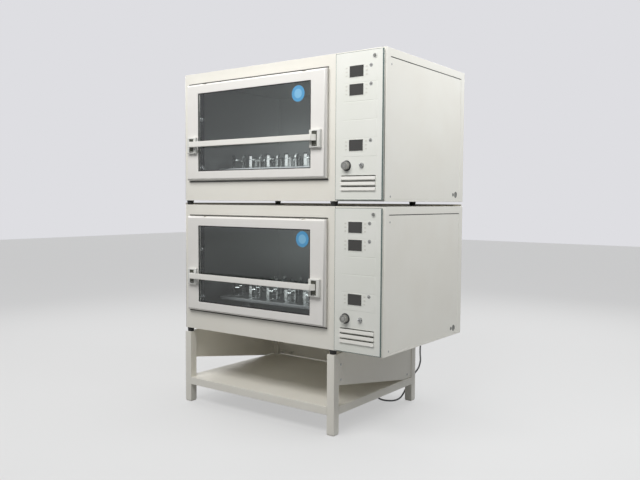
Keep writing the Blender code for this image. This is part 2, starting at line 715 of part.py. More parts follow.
def make_handle(prefix, unit):
    """The pull bar across the door, pivoting in a block at each end."""
    block_front = DOOR_FACE - BLOCK_PROUD
    block_back = DOOR_FACE - FIT
    pivot = (0, DOOR_FACE - HANDLE_PIVOT_REACH, HANDLE_PIVOT_HEIGHT)
    lefts = {
        "left": DOOR_LEFT + BLOCK_INSET,
        "right": DOOR_RIGHT - BLOCK_INSET - BLOCK_WIDTH,
    }
    lugs = []
    for side, left in lefts.items():
        right = left + BLOCK_WIDTH
        shape = bmesh.new()
        box(shape, (left, block_front, BLOCK_BOTTOM), (right, block_back, BLOCK_TOP))
        face_edges = [e for e in shape.edges if all(v.co.y < (block_front + block_back) / 2 for v in e.verts)]
        chamfer(shape, face_edges, BLOCK_CHAMFER)
        block = place(f"{prefix}latch_block_{side}", shape, GREY_METAL, unit, pivot)
        slot = bmesh.new()
        box(
            slot,
            (left + BLOCK_WALL, block_front - BEYOND, BLOCK_BOTTOM + BLOCK_SILL),
            (right - BLOCK_WALL, block_back - BLOCK_FLOOR, BLOCK_TOP - BLOCK_SILL),
        )
        cut(block, slot)
        bores = bmesh.new()
        rod(
            bores,
            (left + BLOCK_WALL / 2, *pivot[1:]),
            (right - BLOCK_WALL / 2, *pivot[1:]),
            HANDLE_PIN_RADIUS + RUN,
            sides=12,
        )
        cut(block, bores)
        lugs.append((left + BLOCK_WALL + BAR_THICKNESS / 2, right - BLOCK_WALL - BAR_THICKNESS / 2))

    left_lug, right_lug = lugs
    bar_y = DOOR_FACE - BAR_REACH + BAR_THICKNESS
    arm_y = DOOR_FACE - BLOCK_PROUD
    t = BAR_THICKNESS
    clear_y = arm_y - BAR_CLEARANCE
    outline = [
        (left_lug[0], arm_y + t),
        (left_lug[0], clear_y),
        (left_lug[0] + BAR_BEND / 2, bar_y - t),
        (right_lug[1] - BAR_BEND / 2, bar_y - t),
        (right_lug[1], clear_y),
        (right_lug[1], arm_y + t),
        (right_lug[0], arm_y + t),
        (right_lug[0], clear_y),
        (right_lug[0] - BAR_BEND, bar_y),
        (left_lug[1] + BAR_BEND, bar_y),
        (left_lug[1], clear_y),
        (left_lug[1], arm_y + t),
    ]
    shape = bmesh.new()
    slab(shape, outline, "Z", BAR_BOTTOM, BAR_TOP)
    grip = [e for e in shape.edges if all(v.co.y < bar_y - t / 2 for v in e.verts)]
    chamfer(shape, grip, BAR_CHAMFER)
    handle = place(prefix + "handle_bar", shape, DOOR_WHITE, unit, pivot)
    arms = bmesh.new()
    for low, high in lugs:
        box(
            arms,
            (low, pivot[1] - LUG_FRONT, HANDLE_PIVOT_HEIGHT - LUG_FRONT),
            (high, pivot[1] + LUG_REAR, BAR_BOTTOM + SINK),
        )
    join(handle, arms)
    pins = bmesh.new()
    for low, high in lugs:
        end = BLOCK_WALL / 2 + BAR_THICKNESS / 2 - FIT
        rod(pins, (low - end, *pivot[1:]), (high + end, *pivot[1:]), HANDLE_PIN_RADIUS, sides=12)
    join(handle, pins)


def pulley(shape, x, y, radius, sides):
    """A flanged belt pulley standing on a bearing housing."""
    flange = radius + PULLEY_FLANGE
    low_flange_top = WEB_BOTTOM + PULLEY_FLANGE_THICKNESS
    top_flange_bottom = WEB_TOP - PULLEY_FLANGE_THICKNESS
    profile = [
        (0, WEB_BOTTOM),
        (flange, WEB_BOTTOM),
        (flange, low_flange_top),
        (radius, low_flange_top),
        (radius, top_flange_bottom),
        (flange, top_flange_bottom),
        (flange, WEB_TOP),
        (0, WEB_TOP),
    ]
    turned(shape, [(x + r, y, z) for r, z in profile], (x, y, 0), (0, 0, 1), sides)


def make_drive(prefix, unit):
    """Cranks, pulleys, belt and motor that swing the platform round in a small circle."""
    names = ("drive_crank", "idler_crank_left", "idler_crank_right")
    pin_top = PLATFORM_UNDER - 2 * FIT
    for name, (x, y) in zip(names, crank_places()):
        shape = bmesh.new()
        if name == "drive_crank":
            pulley(shape, x, y, DRIVE_PULLEY_RADIUS, 22)
        else:
            rod(shape, (x, y, WEB_BOTTOM), (x, y, WEB_TOP), IDLER_WEB_RADIUS, sides=14)
        crank = place(prefix + name, shape, STEEL, unit, (x, y, WEB_BOTTOM))
        parts = bmesh.new()
        rod(parts, (x, y, LINER_FLOOR + SKIN + FIT), (x, y, WEB_BOTTOM + SINK), SHAFT_RADIUS, sides=12)
        rod(
            parts,
            (x + ORBIT_RADIUS, y, WEB_TOP - SINK),
            (x + ORBIT_RADIUS, y, pin_top),
            CRANK_PIN_RADIUS,
            sides=12,
        )
        if name == "drive_crank":
            start, end = pi - COUNTERWEIGHT_SPAN / 2, pi + COUNTERWEIGHT_SPAN / 2
            outer = arc((x, y), DRIVE_PULLEY_RADIUS, start, end, 10)
            inner = arc((x, y), COUNTERWEIGHT_INNER, end, start, 10)
            slab(parts, outer + inner, "Z", WEB_TOP - SINK, WEB_TOP + COUNTERWEIGHT_HEIGHT)
        join(crank, parts)

    shape = bmesh.new()
    pulley(shape, MOTOR_ACROSS, DRIVE_DEPTH, MOTOR_PULLEY_RADIUS, 12)
    motor_axis = (MOTOR_ACROSS, DRIVE_DEPTH, WEB_BOTTOM)
    small = place(prefix + "motor_pulley", shape, STEEL, unit, motor_axis)
    shaft = bmesh.new()
    shaft_bottom = LINER_BOTTOM - FIT - MOTOR_SHAFT_DROP
    rod(
        shaft,
        (MOTOR_ACROSS, DRIVE_DEPTH, shaft_bottom),
        (MOTOR_ACROSS, DRIVE_DEPTH, WEB_BOTTOM + SINK),
        MOTOR_SHAFT_RADIUS,
        sides=16,
    )
    join(small, shaft)

    gap = MOTOR_ACROSS - DRIVE_ACROSS
    lean = atan2(DRIVE_PULLEY_RADIUS - MOTOR_PULLEY_RADIUS, gap)

    def loop(offset):
        big = arc((DRIVE_ACROSS, DRIVE_DEPTH), DRIVE_PULLEY_RADIUS + offset, pi / 2 - lean, 1.5 * pi + lean, 18)
        little = arc((MOTOR_ACROSS, DRIVE_DEPTH), MOTOR_PULLEY_RADIUS + offset, lean - pi / 2, pi / 2 - lean, 6)
        return big + little

    shape = bmesh.new()
    belt_low = BELT_BOTTOM + BELT_CLEARANCE
    slab(shape, loop(RUN + BELT_THICKNESS), "Z", belt_low, belt_low + BELT_WIDTH)
    belt = place(prefix + "drive_belt", shape, BLACK_RUBBER, unit)
    inside = bmesh.new()
    slab(inside, loop(RUN), "Z", belt_low - SINK, belt_low + BELT_WIDTH + SINK)
    cut(belt, inside)

    shape = bmesh.new()
    top = LINER_BOTTOM - FIT
    half = MOTOR_FLANGE / 2
    box(
        shape,
        (MOTOR_ACROSS - half, DRIVE_DEPTH - half, top - MOTOR_FLANGE_THICKNESS),
        (MOTOR_ACROSS + half, DRIVE_DEPTH + half, top),
    )
    motor = place(prefix + "drive_motor", shape, DARK_PLASTIC, unit)
    can = bmesh.new()
    can_top = Vector((MOTOR_ACROSS, DRIVE_DEPTH, top - MOTOR_FLANGE_THICKNESS / 2))
    rod(can, can_top - Vector((0, 0, MOTOR_LENGTH)), can_top, MOTOR_RADIUS)
    join(motor, can)
    bore = bmesh.new()
    rod(
        bore,
        (MOTOR_ACROSS, DRIVE_DEPTH, shaft_bottom - FIT),
        (MOTOR_ACROSS, DRIVE_DEPTH, top + SINK),
        MOTOR_SHAFT_RADIUS + RUN,
        sides=16,
    )
    cut(motor, bore)


def clamp(shape, x, y):
    """A round flask clamp: a base disc with a spring finger standing on every second side of its rim."""
    bottom = PLATFORM_TOP - PLATFORM_PLATE / 4
    top = PLATFORM_TOP + CLAMP_BASE
    middle = Matrix.Translation((x, y, (bottom + top) / 2)) @ Matrix.Rotation(pi / 8, 4, "Z")
    made = bmesh.ops.create_cone(
        shape,
        cap_ends=True,
        segments=8,
        radius1=CLAMP_RADIUS,
        radius2=CLAMP_RADIUS,
        depth=top - bottom,
        matrix=middle,
    )
    faces = {face for vert in made["verts"] for face in vert.link_faces}
    lid = max(faces, key=lambda face: face.calc_center_median().z)
    shape.normal_update()
    rim = bmesh.ops.inset_region(shape, faces=[lid], thickness=CLAMP_FINGER_WALL, use_even_offset=True)["faces"]
    for foot in rim:
        out = foot.calc_center_median() - Vector((x, y, top))
        if min(abs(out.x), abs(out.y)) > CLAMP_FINGER_WALL:
            continue
        tip = bmesh.ops.extrude_discrete_faces(shape, faces=[foot])["faces"][0]
        rise = Vector((0, 0, CLAMP_FINGER)) + out.normalized() * CLAMP_FLARE
        bmesh.ops.translate(shape, verts=tip.verts, vec=rise)


def make_platform(name, unit):
    """Tray with down-turned edges, bearing bushes below and flask clamps on top."""
    left = DRIVE_ACROSS + ORBIT_RADIUS - PLATFORM_WIDTH / 2
    right = left + PLATFORM_WIDTH
    rear = PLATFORM_FRONT + PLATFORM_DEPTH
    pin = (DRIVE_ACROSS + ORBIT_RADIUS, DRIVE_DEPTH, WEB_TOP)
    shape = bmesh.new()
    rim_bottom = PLATFORM_TOP - PLATFORM_RIM
    box(shape, (left, PLATFORM_FRONT, rim_bottom), (right, rear, PLATFORM_TOP))
    platform = place(name, shape, ALUMINIUM, unit, pin)
    hollow = bmesh.new()
    t = PLATFORM_WALL
    box(hollow, (left + t, PLATFORM_FRONT + t, rim_bottom - t), (right - t, rear - t, PLATFORM_UNDER))
    cut(platform, hollow)
    bushes, bores = bmesh.new(), bmesh.new()
    for x, y in crank_places():
        x += ORBIT_RADIUS
        rod(bushes, (x, y, WEB_TOP + FIT), (x, y, PLATFORM_UNDER + PLATFORM_PLATE / 2), BUSH_RADIUS, sides=12)
        rod(bores, (x, y, WEB_TOP - FIT), (x, y, PLATFORM_UNDER), CRANK_PIN_RADIUS + RUN, sides=12)
    join(platform, bushes)
    cut(platform, bores)
    clamps = bmesh.new()
    pitch_x = PLATFORM_WIDTH / CLAMP_COLUMNS
    pitch_y = PLATFORM_DEPTH / CLAMP_ROWS
    for column in range(CLAMP_COLUMNS):
        for row in range(CLAMP_ROWS):
            clamp(clamps, left + (column + 0.5) * pitch_x, PLATFORM_FRONT + (row + 0.5) * pitch_y)
    join(platform, clamps)


def make_controls(prefix, unit):
    """The control panel with its louvres, and the dial, switch lever and push button on it."""
    shape = bmesh.new()
    back = -FIT
    box(shape, (PANEL_LEFT, PANEL_FACE, PANEL_BOTTOM), (PANEL_RIGHT, back, PANEL_TOP))
    panel = place(prefix + "control_panel", shape, PANEL_WHITE, unit)
    hollow = bmesh.new()
    t = PANEL_WALL
    box(hollow, (PANEL_LEFT + t, PANEL_BACK, PANEL_BOTTOM + t), (PANEL_RIGHT - t, back + BEYOND, PANEL_TOP - t))
    cut(panel, hollow)

    plates = bmesh.new()
    pitch = (DISPLAY_BOTTOMS[0] - DISPLAY_BOTTOMS[-1]) / (MODULE_PLACES - 1)
    for number in range(MODULE_PLACES):
        bottom = DISPLAY_BOTTOMS[-1] + number * pitch
        box(
            plates,
            (MODULE_LEFT, PANEL_FACE - MODULE_PROUD, bottom - MODULE_BELOW),
            (MODULE_RIGHT, PANEL_FACE + SINK, bottom + DISPLAY_HEIGHT + MODULE_ABOVE),
        )
    join(panel, plates)

    added = bmesh.new()
    for top in LOUVRE_TOPS:
        lip_top = top - LOUVRE_SLIT
        lip_bottom = lip_top - LOUVRE_LIP
        profile = [
            (PANEL_FACE + SINK, lip_bottom),
            (PANEL_FACE + SINK, lip_top),
            (PANEL_FACE - LOUVRE_PROUD, lip_top),
            (PANEL_FACE - LOUVRE_PROUD * 0.8, lip_top - LOUVRE_LIP * 0.35),
            (PANEL_FACE - LOUVRE_PROUD * 0.35, lip_top - LOUVRE_LIP * 0.75),
            (PANEL_FACE, lip_bottom),
        ]
        slab(added, profile, "X", LOUVRE_LEFT, LOUVRE_RIGHT)
    rod(
        added,
        (TOGGLE_ACROSS, PANEL_FACE - TOGGLE_NUT_DEPTH, TOGGLE_HEIGHT),
        (TOGGLE_ACROSS, PANEL_FACE + SINK, TOGGLE_HEIGHT),
        TOGGLE_NUT_RADIUS,
        sides=6,
    )
    join(panel, added)

    holes = bmesh.new()
    for bottom in DISPLAY_BOTTOMS:
        box(
            holes,
            (DISPLAY_LEFT, PANEL_FACE - BEYOND, bottom),
            (DISPLAY_LEFT + DISPLAY_WIDTH, PANEL_FACE + DISPLAY_RECESS, bottom + DISPLAY_HEIGHT),
        )
    for top in LOUVRE_TOPS:
        box(
            holes,
            (LOUVRE_LEFT, PANEL_FACE - BEYOND, top - LOUVRE_SLIT),
            (LOUVRE_RIGHT, PANEL_BACK + BEYOND, top),
        )
    through = (PANEL_FACE - 2 * TOGGLE_NUT_DEPTH, PANEL_BACK + BEYOND)
    for x, z, radius in (
        (DIAL_ACROSS, DIAL_HEIGHT, DIAL_SHAFT_RADIUS + RUN),
        (TOGGLE_ACROSS, TOGGLE_HEIGHT, TOGGLE_BORE_RADIUS),
        (BUTTON_ACROSS, BUTTON_HEIGHT, BUTTON_RADIUS + RUN),
    ):
        rod(holes, (x, through[0], z), (x, through[1], z), radius, sides=16)
    cut(panel, holes)

    dial_back = PANEL_FACE - FIT
    shape = bmesh.new()
    x, z = DIAL_ACROSS, DIAL_HEIGHT
    profile = [
        (0, dial_back + PANEL_WALL + DIAL_SHAFT_END),
        (DIAL_SHAFT_RADIUS, dial_back + PANEL_WALL + DIAL_SHAFT_END),
        (DIAL_SHAFT_RADIUS, dial_back),
        (DIAL_RADIUS, dial_back),
        (DIAL_RADIUS, dial_back - DIAL_SKIRT),
        (DIAL_RADIUS * 0.86, dial_back - DIAL_SKIRT - 2 * DIAL_CHAMFER),
        (DIAL_RADIUS * 0.80, dial_back - DIAL_DEPTH + DIAL_CHAMFER),
        (DIAL_RADIUS * 0.74, dial_back - DIAL_DEPTH),
        (0, dial_back - DIAL_DEPTH),
    ]
    turned(shape, [(x + r, y, z) for r, y in profile], (x, 0, z), (0, 1, 0), 16)
    place(prefix + "speed_dial", shape, ALUMINIUM, unit, (x, dial_back, z))

    pivot = Vector((TOGGLE_ACROSS, PANEL_FACE - TOGGLE_NUT_DEPTH / 3, TOGGLE_HEIGHT))
    shape = bmesh.new()
    half_barrel = Vector((TOGGLE_BORE_RADIUS / 3, 0, 0))
    rod(shape, pivot - half_barrel, pivot + half_barrel, TOGGLE_BORE_RADIUS - RUN, sides=12)
    lever = place(prefix + "toggle_lever", shape, CHROME, unit, pivot)
    stick = bmesh.new()
    way = Vector((0, -cos(TOGGLE_TILT), sin(TOGGLE_TILT)))
    tip = pivot + way * TOGGLE_LEVER_LENGTH
    rod(stick, pivot, tip, TOGGLE_ROOT_RADIUS, TOGGLE_TIP_RADIUS, sides=10)
    join(lever, stick)

    shape = bmesh.new()
    x, z = BUTTON_ACROSS, BUTTON_HEIGHT
    flange_front = PANEL_BACK + FIT
    profile = [
        (0, flange_front + BUTTON_FLANGE),
        (BUTTON_RADIUS + BUTTON_FLANGE_RIM, flange_front + BUTTON_FLANGE),
        (BUTTON_RADIUS + BUTTON_FLANGE_RIM, flange_front),
        (BUTTON_RADIUS, flange_front),
        (BUTTON_RADIUS, PANEL_FACE - BUTTON_PROUD + BUTTON_CHAMFER),
        (BUTTON_RADIUS - BUTTON_CHAMFER, PANEL_FACE - BUTTON_PROUD),
        (0, PANEL_FACE - BUTTON_PROUD),
    ]
    turned(shape, [(x + r, y, z) for r, y in profile], (x, 0, z), (0, 1, 0), 16)
    place(prefix + "light_button", shape, DARK_PLASTIC, unit, (x, PANEL_FACE, z))


def foot_places():
    """The four feet, over the middles of the stand's legs."""
    near, far = FOOT_INSET, CHAMBER_WIDTH - FOOT_INSET
    rear = stand_depth() - FOOT_INSET
    return {
        "front_left": (near, FOOT_INSET),
        "front_right": (far, FOOT_INSET),
        "rear_left": (near, rear),
        "rear_right": (far, rear),
    }


def make_feet(prefix, unit):
    for corner, (x, y) in foot_places().items():
        shape = bmesh.new()
        rod(shape, (x, y, FIT - FOOT_HEIGHT), (x, y, -FIT), FOOT_RADIUS * 0.85, FOOT_RADIUS, sides=16)
        place(f"{prefix}foot_{corner}", shape, BLACK_RUBBER, unit)


def stand_depth():
    return UNIT_DEPTH - SKIN * 2


def make_stand(floor):
    """Four square legs joined by side plates, a back plate and a tray shelf."""
    depth = stand_depth()
    shelf_bottom = SHELF_TOP - SHELF_FASCIA
    plate_low = SHELF_TOP + SHELF_SHEET / 2
    for side, left in (("left", 0), ("right", CHAMBER_WIDTH - LEG_WIDTH)):
        shape = bmesh.new()
        for front in (0, depth - LEG_WIDTH):
            low = (left, front, FOOT_PAD_HEIGHT - BEYOND)
            box(shape, low, (left + LEG_WIDTH, front + LEG_WIDTH, STAND_HEIGHT))
        frame = place(f"stand_side_frame_{side}", shape, CREAM, floor)
        pads = bmesh.new()
        step = FOOT_PAD_STEP
        for front in (0, depth - LEG_WIDTH):
            box(
                pads,
                (left + step, front + step, 0),
                (left + LEG_WIDTH - step, front + LEG_WIDTH - step, FOOT_PAD_HEIGHT),
            )
        join(frame, pads)
        web = bmesh.new()
        inset = SIDE_PLATE_INSET
        plate_left = left + inset if side == "left" else left + LEG_WIDTH - inset - SIDE_PLATE_THICKNESS
        profile = [
            (LEG_WIDTH - BEYOND, SIDE_PLATE_FRONT_HEIGHT),
            (SIDE_PLATE_STEP_DEPTH, plate_low),
            (depth - LEG_WIDTH + BEYOND, plate_low),
            (depth - LEG_WIDTH + BEYOND, STAND_HEIGHT),
            (LEG_WIDTH - BEYOND, STAND_HEIGHT),
        ]
        slab(web, profile, "X", plate_left, plate_left + SIDE_PLATE_THICKNESS)
        join(frame, web)

    shape = bmesh.new()
    rear_middle = depth - LEG_WIDTH / 2
    box(
        shape,
        (LEG_WIDTH + FIT, rear_middle - BACK_PLATE_THICKNESS / 2, plate_low),
        (CHAMBER_WIDTH - LEG_WIDTH - FIT, rear_middle + BACK_PLATE_THICKNESS / 2, STAND_HEIGHT),
    )
    place("stand_back_plate", shape, CREAM, floor)

    notch = LEG_WIDTH + FIT
    outline = [
        (notch, 0),
        (CHAMBER_WIDTH - notch, 0),
        (CHAMBER_WIDTH - notch, notch),
        (CHAMBER_WIDTH, notch),
        (CHAMBER_WIDTH, depth - notch),
        (CHAMBER_WIDTH - notch, depth - notch),
        (CHAMBER_WIDTH - notch, depth),
        (notch, depth),
        (notch, depth - notch),
        (0, depth - notch),
        (0, notch),
        (notch, notch),
    ]
    shape = bmesh.new()
    slab(shape, outline, "Z", shelf_bottom, SHELF_TOP)
    shelf = place("stand_shelf", shape, CREAM, floor)
    t = SHELF_SHEET
    under = bmesh.new()
    box(under, (notch + t, t, shelf_bottom - BEYOND), (CHAMBER_WIDTH - notch - t, depth - t, SHELF_TOP - t))
    cut(shelf, under)
    wings = bmesh.new()
    box(
        wings,
        (t, notch + t, shelf_bottom - BEYOND),
        (CHAMBER_WIDTH - t, depth - notch - t, SHELF_TOP - t),
    )
    cut(shelf, wings)


def cord_route():
    """The free lead: straight out, down under its weight, behind the rear leg, then along the floor."""
    start = REAR_FACE + CONNECTOR_LENGTH + RELIEF_LENGTH + FIT
    inlet = LOWER_BASE + INLET_HEIGHT
    rest = CORD_RADIUS + 2 * FIT
    turning = start + EXIT_STRAIGHT
    bend = arc((turning, inlet - EXIT_BEND), EXIT_BEND, radians(70), radians(24), 2)
    return [
        (INLET_ACROSS, start, inlet),
        (INLET_ACROSS, turning, inlet),
        *[(INLET_ACROSS - drift, *point) for drift, point in zip((0.0002, 0.0012, 0.0035), bend)],
        (0.882, 0.7965, 0.354),
        (0.869, 0.7945, 0.322),
        (0.856, 0.786, 0.288),
        (0.849, 0.771, 0.252),
        (0.856, 0.754, 0.214),
        (0.866, 0.739, 0.180),
        (0.863, 0.726, 0.147),
        (0.847, 0.714, 0.118),
        (0.831, 0.702, 0.088),
        (0.822, 0.685, 0.056),
        (0.819, 0.661, 0.029),
        (0.818, 0.631, 0.0125),
        (0.812, 0.601, 0.0062),
        (0.792, 0.576, rest),
        (0.759, 0.567, rest),
        (0.726, 0.582, rest),
        (0.704, 0.614, rest),
        (0.689, 0.655, rest),
        (0.681, 0.704, rest),
        (COIL_ACROSS + coil_outer() + CORD_RADIUS + FIT, COIL_DEPTH, rest),
    ]


def coil_outer():
    return COIL_RADIUS + COIL_TURNS_WIDE * CORD_RADIUS


def smooth_points(route, spacing):
    """Points at an even spacing on one smooth curve through the route."""
    points = [Vector(point) for point in route]
    ahead = [*points[1:], points[-1]]
    behind = [points[0], *points[:-1]]
    fine = []
    for i in range(len(points) - 1):
        reach = (points[i + 1] - points[i]).length / 3
        out = (ahead[i] - behind[i]).normalized() * reach
        into = (ahead[i + 1] - behind[i + 1]).normalized() * reach
        fine += interpolate_bezier(points[i], points[i] + out, points[i + 1] - into, points[i + 1], 12)[:-1]
    fine.append(points[-1])
    lowest = min(point.z for point in points)
    fine = [Vector((point.x, point.y, max(point.z, lowest))) for point in fine]
    length = sum((b - a).length for a, b in zip(fine, fine[1:]))
    step = length / round(length / spacing)
    even, travelled = [fine[0]], 0.0
    for a, b in zip(fine, fine[1:]):
        span = (b - a).length
        while travelled + span >= step * len(even) - 1e-9 and span > 0:
            even.append(a.lerp(b, (step * len(even) - travelled) / span))
        travelled += span
    if (even[-1] - fine[-1]).length > step / 2:
        even.append(fine[-1])
    return even


def make_lead(floor):
    """The lower unit's power lead: inlet connector, free cord, its coil and its plug."""
    inlet = LOWER_BASE + INLET_HEIGHT
    half_x, half_z = INLET_WIDTH / 2 - 2 * FIT, INLET_TALL / 2 - 2 * FIT
    shape = bmesh.new()
    body_end = REAR_FACE + CONNECTOR_LENGTH
    box(
        shape,
        (INLET_ACROSS - half_x, REAR_FACE - INLET_DEPTH + FIT, inlet - half_z),
        (INLET_ACROSS + half_x, body_end, inlet + half_z),
    )
    connector = place("inlet_connector", shape, BLACK_RUBBER, floor)
    relief = bmesh.new()
    rod(
        relief,
        (INLET_ACROSS, body_end - SINK, inlet),
        (INLET_ACROSS, body_end + RELIEF_LENGTH, inlet),
        RELIEF_ROOT_RADIUS,
        RELIEF_TIP_RADIUS,
        sides=16,
    )
    join(connector, relief)

    line = bpy.data.curves.new("power_cord", "CURVE")
    line.dimensions = "3D"
    line.bevel_depth = CORD_RADIUS
    line.bevel_resolution = 2
    line.use_fill_caps = True
    run = smooth_points(cord_route(), CORD_POINT_SPACING)
    spline = line.splines.new("POLY")
    spline.points.add(len(run) - 1)
    for point, where in zip(spline.points, run):
        point.co = (*where, 1)
    line.materials.append(CORD_GREY)
    cord = bpy.data.objects.new("power_cord", line)
    bpy.context.collection.objects.link(cord)
    cord.parent = floor

    half_wide = COIL_TURNS_WIDE * CORD_RADIUS
    high = COIL_TURNS_HIGH * 2 * CORD_RADIUS
    shape = bmesh.new()
    profile = [
        (COIL_RADIUS - half_wide, 0),
        (COIL_RADIUS + half_wide, 0),
        (COIL_RADIUS + half_wide, high),
        (COIL_RADIUS - half_wide, high),
    ]
    ring = [(COIL_ACROSS + r, COIL_DEPTH, z) for r, z in (*profile, profile[0])]
    turned(shape, ring, (COIL_ACROSS, COIL_DEPTH, 0), (0, 0, 1), 24)
    place("cord_coil", shape, CORD_GREY, floor)

    shape = bmesh.new()
    half_width, half_height = PLUG_WIDTH / 2, PLUG_HEIGHT / 2
    box(shape, (0, -half_width, -half_height), (PLUG_LENGTH, half_width, half_height))
    rear_end = Vector((COIL_ACROSS, COIL_DEPTH, high + FIT + half_height))
    rear_end += Vector((cos(PLUG_PLACE), sin(PLUG_PLACE), 0)) * COIL_RADIUS
    lay = Matrix.Translation(rear_end) @ Matrix.Rotation(PLUG_TURN, 4, "Z")
    bmesh.ops.transform(shape, matrix=lay, verts=shape.verts)
    plug = place("power_plug", shape, BLACK_RUBBER, floor)
    blades = bmesh.new()
    for offset in (-BLADE_SPREAD, BLADE_SPREAD):
        box(
            blades,
            (PLUG_LENGTH - SINK, offset - BLADE_THICKNESS / 2, -BLADE_WIDTH / 2),
            (PLUG_LENGTH + BLADE_LENGTH, offset + BLADE_THICKNESS / 2, BLADE_WIDTH / 2),
        )
    bmesh.ops.transform(blades, matrix=lay, verts=blades.verts)
    join(plug, blades)


def make_unit(prefix, base):
    """One complete shaking incubator, with its underside at a given height."""
    unit = bpy.data.objects.new(prefix + "unit", None)
    bpy.context.collection.objects.link(unit)
    unit.location = Vector((0, 0, base)) - STACK_MIDDLE
    make_cabinet(prefix + "cabinet", unit)
    make_covers(prefix, unit)
    make_liner(prefix + "chamber_liner", unit)
    make_fan_rotor(prefix + "fan_rotor", unit)
    make_door(prefix, unit)
    make_handle(prefix, unit)
    make_drive(prefix, unit)
    make_platform(prefix + "platform", unit)
    make_controls(prefix, unit)
    make_feet(prefix, unit)


for leftover in list(bpy.data.objects):
    bpy.data.objects.remove(leftover)

CREAM = paint("cream_paint", (0.80, 0.77, 0.68), 0.45)
DOOR_WHITE = paint("door_white", (0.86, 0.83, 0.79), 0.35)
PANEL_WHITE = paint("panel_white", (0.78, 0.78, 0.72), 0.4)
GREY_METAL = paint("grey_metal", (0.45, 0.45, 0.44), 0.4, 0.6)
STEEL = paint("steel", (0.55, 0.56, 0.57), 0.35, 1.0)
ALUMINIUM = paint("aluminium", (0.66, 0.67, 0.68), 0.35, 1.0)
CHROME = paint("chrome", (0.75, 0.75, 0.76), 0.15, 1.0)
DARK_PLASTIC = paint("dark_plastic", (0.05, 0.05, 0.05), 0.5)
BLACK_RUBBER = paint("black_rubber", (0.02, 0.02, 0.02), 0.7)
SMOKED_GLASS = paint("smoked_glass", (0.05, 0.055, 0.06), 0.08)
CORD_GREY = paint("cord_grey", (0.35, 0.35, 0.35), 0.55)

floor_frame = bpy.data.objects.new("floor_frame", None)
bpy.context.collection.objects.link(floor_frame)
floor_frame.location = -STACK_MIDDLE

make_unit("lower_", LOWER_BASE)
make_unit("upper_", UPPER_BASE)
make_stand(floor_frame)
make_lead(floor_frame)
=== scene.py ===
"""Looks of the stacked shaking incubators: finishes, fittings, power lead, light and camera."""

import json
from math import cos, pi, radians, sin

import bmesh
import bpy
from mathutils import Matrix, Vector
from mathutils.geometry import interpolate_bezier

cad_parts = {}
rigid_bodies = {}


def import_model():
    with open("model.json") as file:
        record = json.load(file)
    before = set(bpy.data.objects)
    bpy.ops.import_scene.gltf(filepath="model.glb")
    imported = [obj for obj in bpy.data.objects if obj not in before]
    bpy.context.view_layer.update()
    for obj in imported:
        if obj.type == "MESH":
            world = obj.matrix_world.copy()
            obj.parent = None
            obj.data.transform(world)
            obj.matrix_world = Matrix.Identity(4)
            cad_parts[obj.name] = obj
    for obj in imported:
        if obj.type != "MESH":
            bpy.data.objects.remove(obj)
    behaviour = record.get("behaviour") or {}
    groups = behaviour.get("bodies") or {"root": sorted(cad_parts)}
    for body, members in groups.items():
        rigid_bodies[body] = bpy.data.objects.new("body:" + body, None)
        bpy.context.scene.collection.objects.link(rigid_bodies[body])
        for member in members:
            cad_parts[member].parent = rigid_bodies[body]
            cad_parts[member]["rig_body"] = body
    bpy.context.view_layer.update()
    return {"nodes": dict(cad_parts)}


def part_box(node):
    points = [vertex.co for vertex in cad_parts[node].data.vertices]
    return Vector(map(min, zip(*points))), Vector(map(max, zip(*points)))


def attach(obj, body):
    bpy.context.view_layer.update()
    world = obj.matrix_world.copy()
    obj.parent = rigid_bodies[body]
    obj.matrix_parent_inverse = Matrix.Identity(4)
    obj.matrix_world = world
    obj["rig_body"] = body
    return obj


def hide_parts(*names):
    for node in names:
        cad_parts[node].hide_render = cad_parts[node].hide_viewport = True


MM = 0.001

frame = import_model()

# Sizes of a unit and its stand, measured from the unit's lower front left corner
UNIT_WIDTH = 1.100
UNIT_DEPTH = 0.685
UNIT_HEIGHT = 0.583
UNIT_BASE = 0.355
CHAMBER_WIDTH = 0.870
LEG_WIDTH = 0.036
LEG_INSET = 3 * MM
STAND_DEPTH = 0.681
STAND_SCREWS = ((0.052, 0.287), (0.052, 0.225), (0.606, 0.138), (0.606, 0.300))
WING_NUT_INSETS = (0.062, 0.122)
WING_NUT_HEIGHT = 0.137

# Control column
PANEL = {"left": 0.878, "right": 1.093, "bottom": 0.006, "top": 0.576}
PANEL_FACE = -0.012
MODULE_FACE = PANEL_FACE - 0.6 * MM
DISPLAY_LEFT = 0.94207
DISPLAY_SIZE = (0.06493, 0.044)
DISPLAY_BOTTOMS = (0.479, 0.409, 0.195)
DISPLAY_RECESS = 1.5 * MM
KEY_PLACES = (0.9285, 1.0205)
KEY_HEIGHTS = (0.007, 0.022, 0.037)
KEY_SIZE = (9 * MM, 5 * MM)
LAMP_ACROSS = 1.041
LAMP_DROP = 5 * MM
DIAL = (0.931, -0.0123, 0.139)
DIAL_FLUTES = 64
TOGGLE = (1.001, -0.014, 0.139)
TOGGLE_TILT = radians(13)
BUTTON = (1.057, 0.552)
LOUVRES = {"left": 0.905, "right": 1.065, "tops": (0.101, 0.080, 0.059), "slit": 4 * MM}

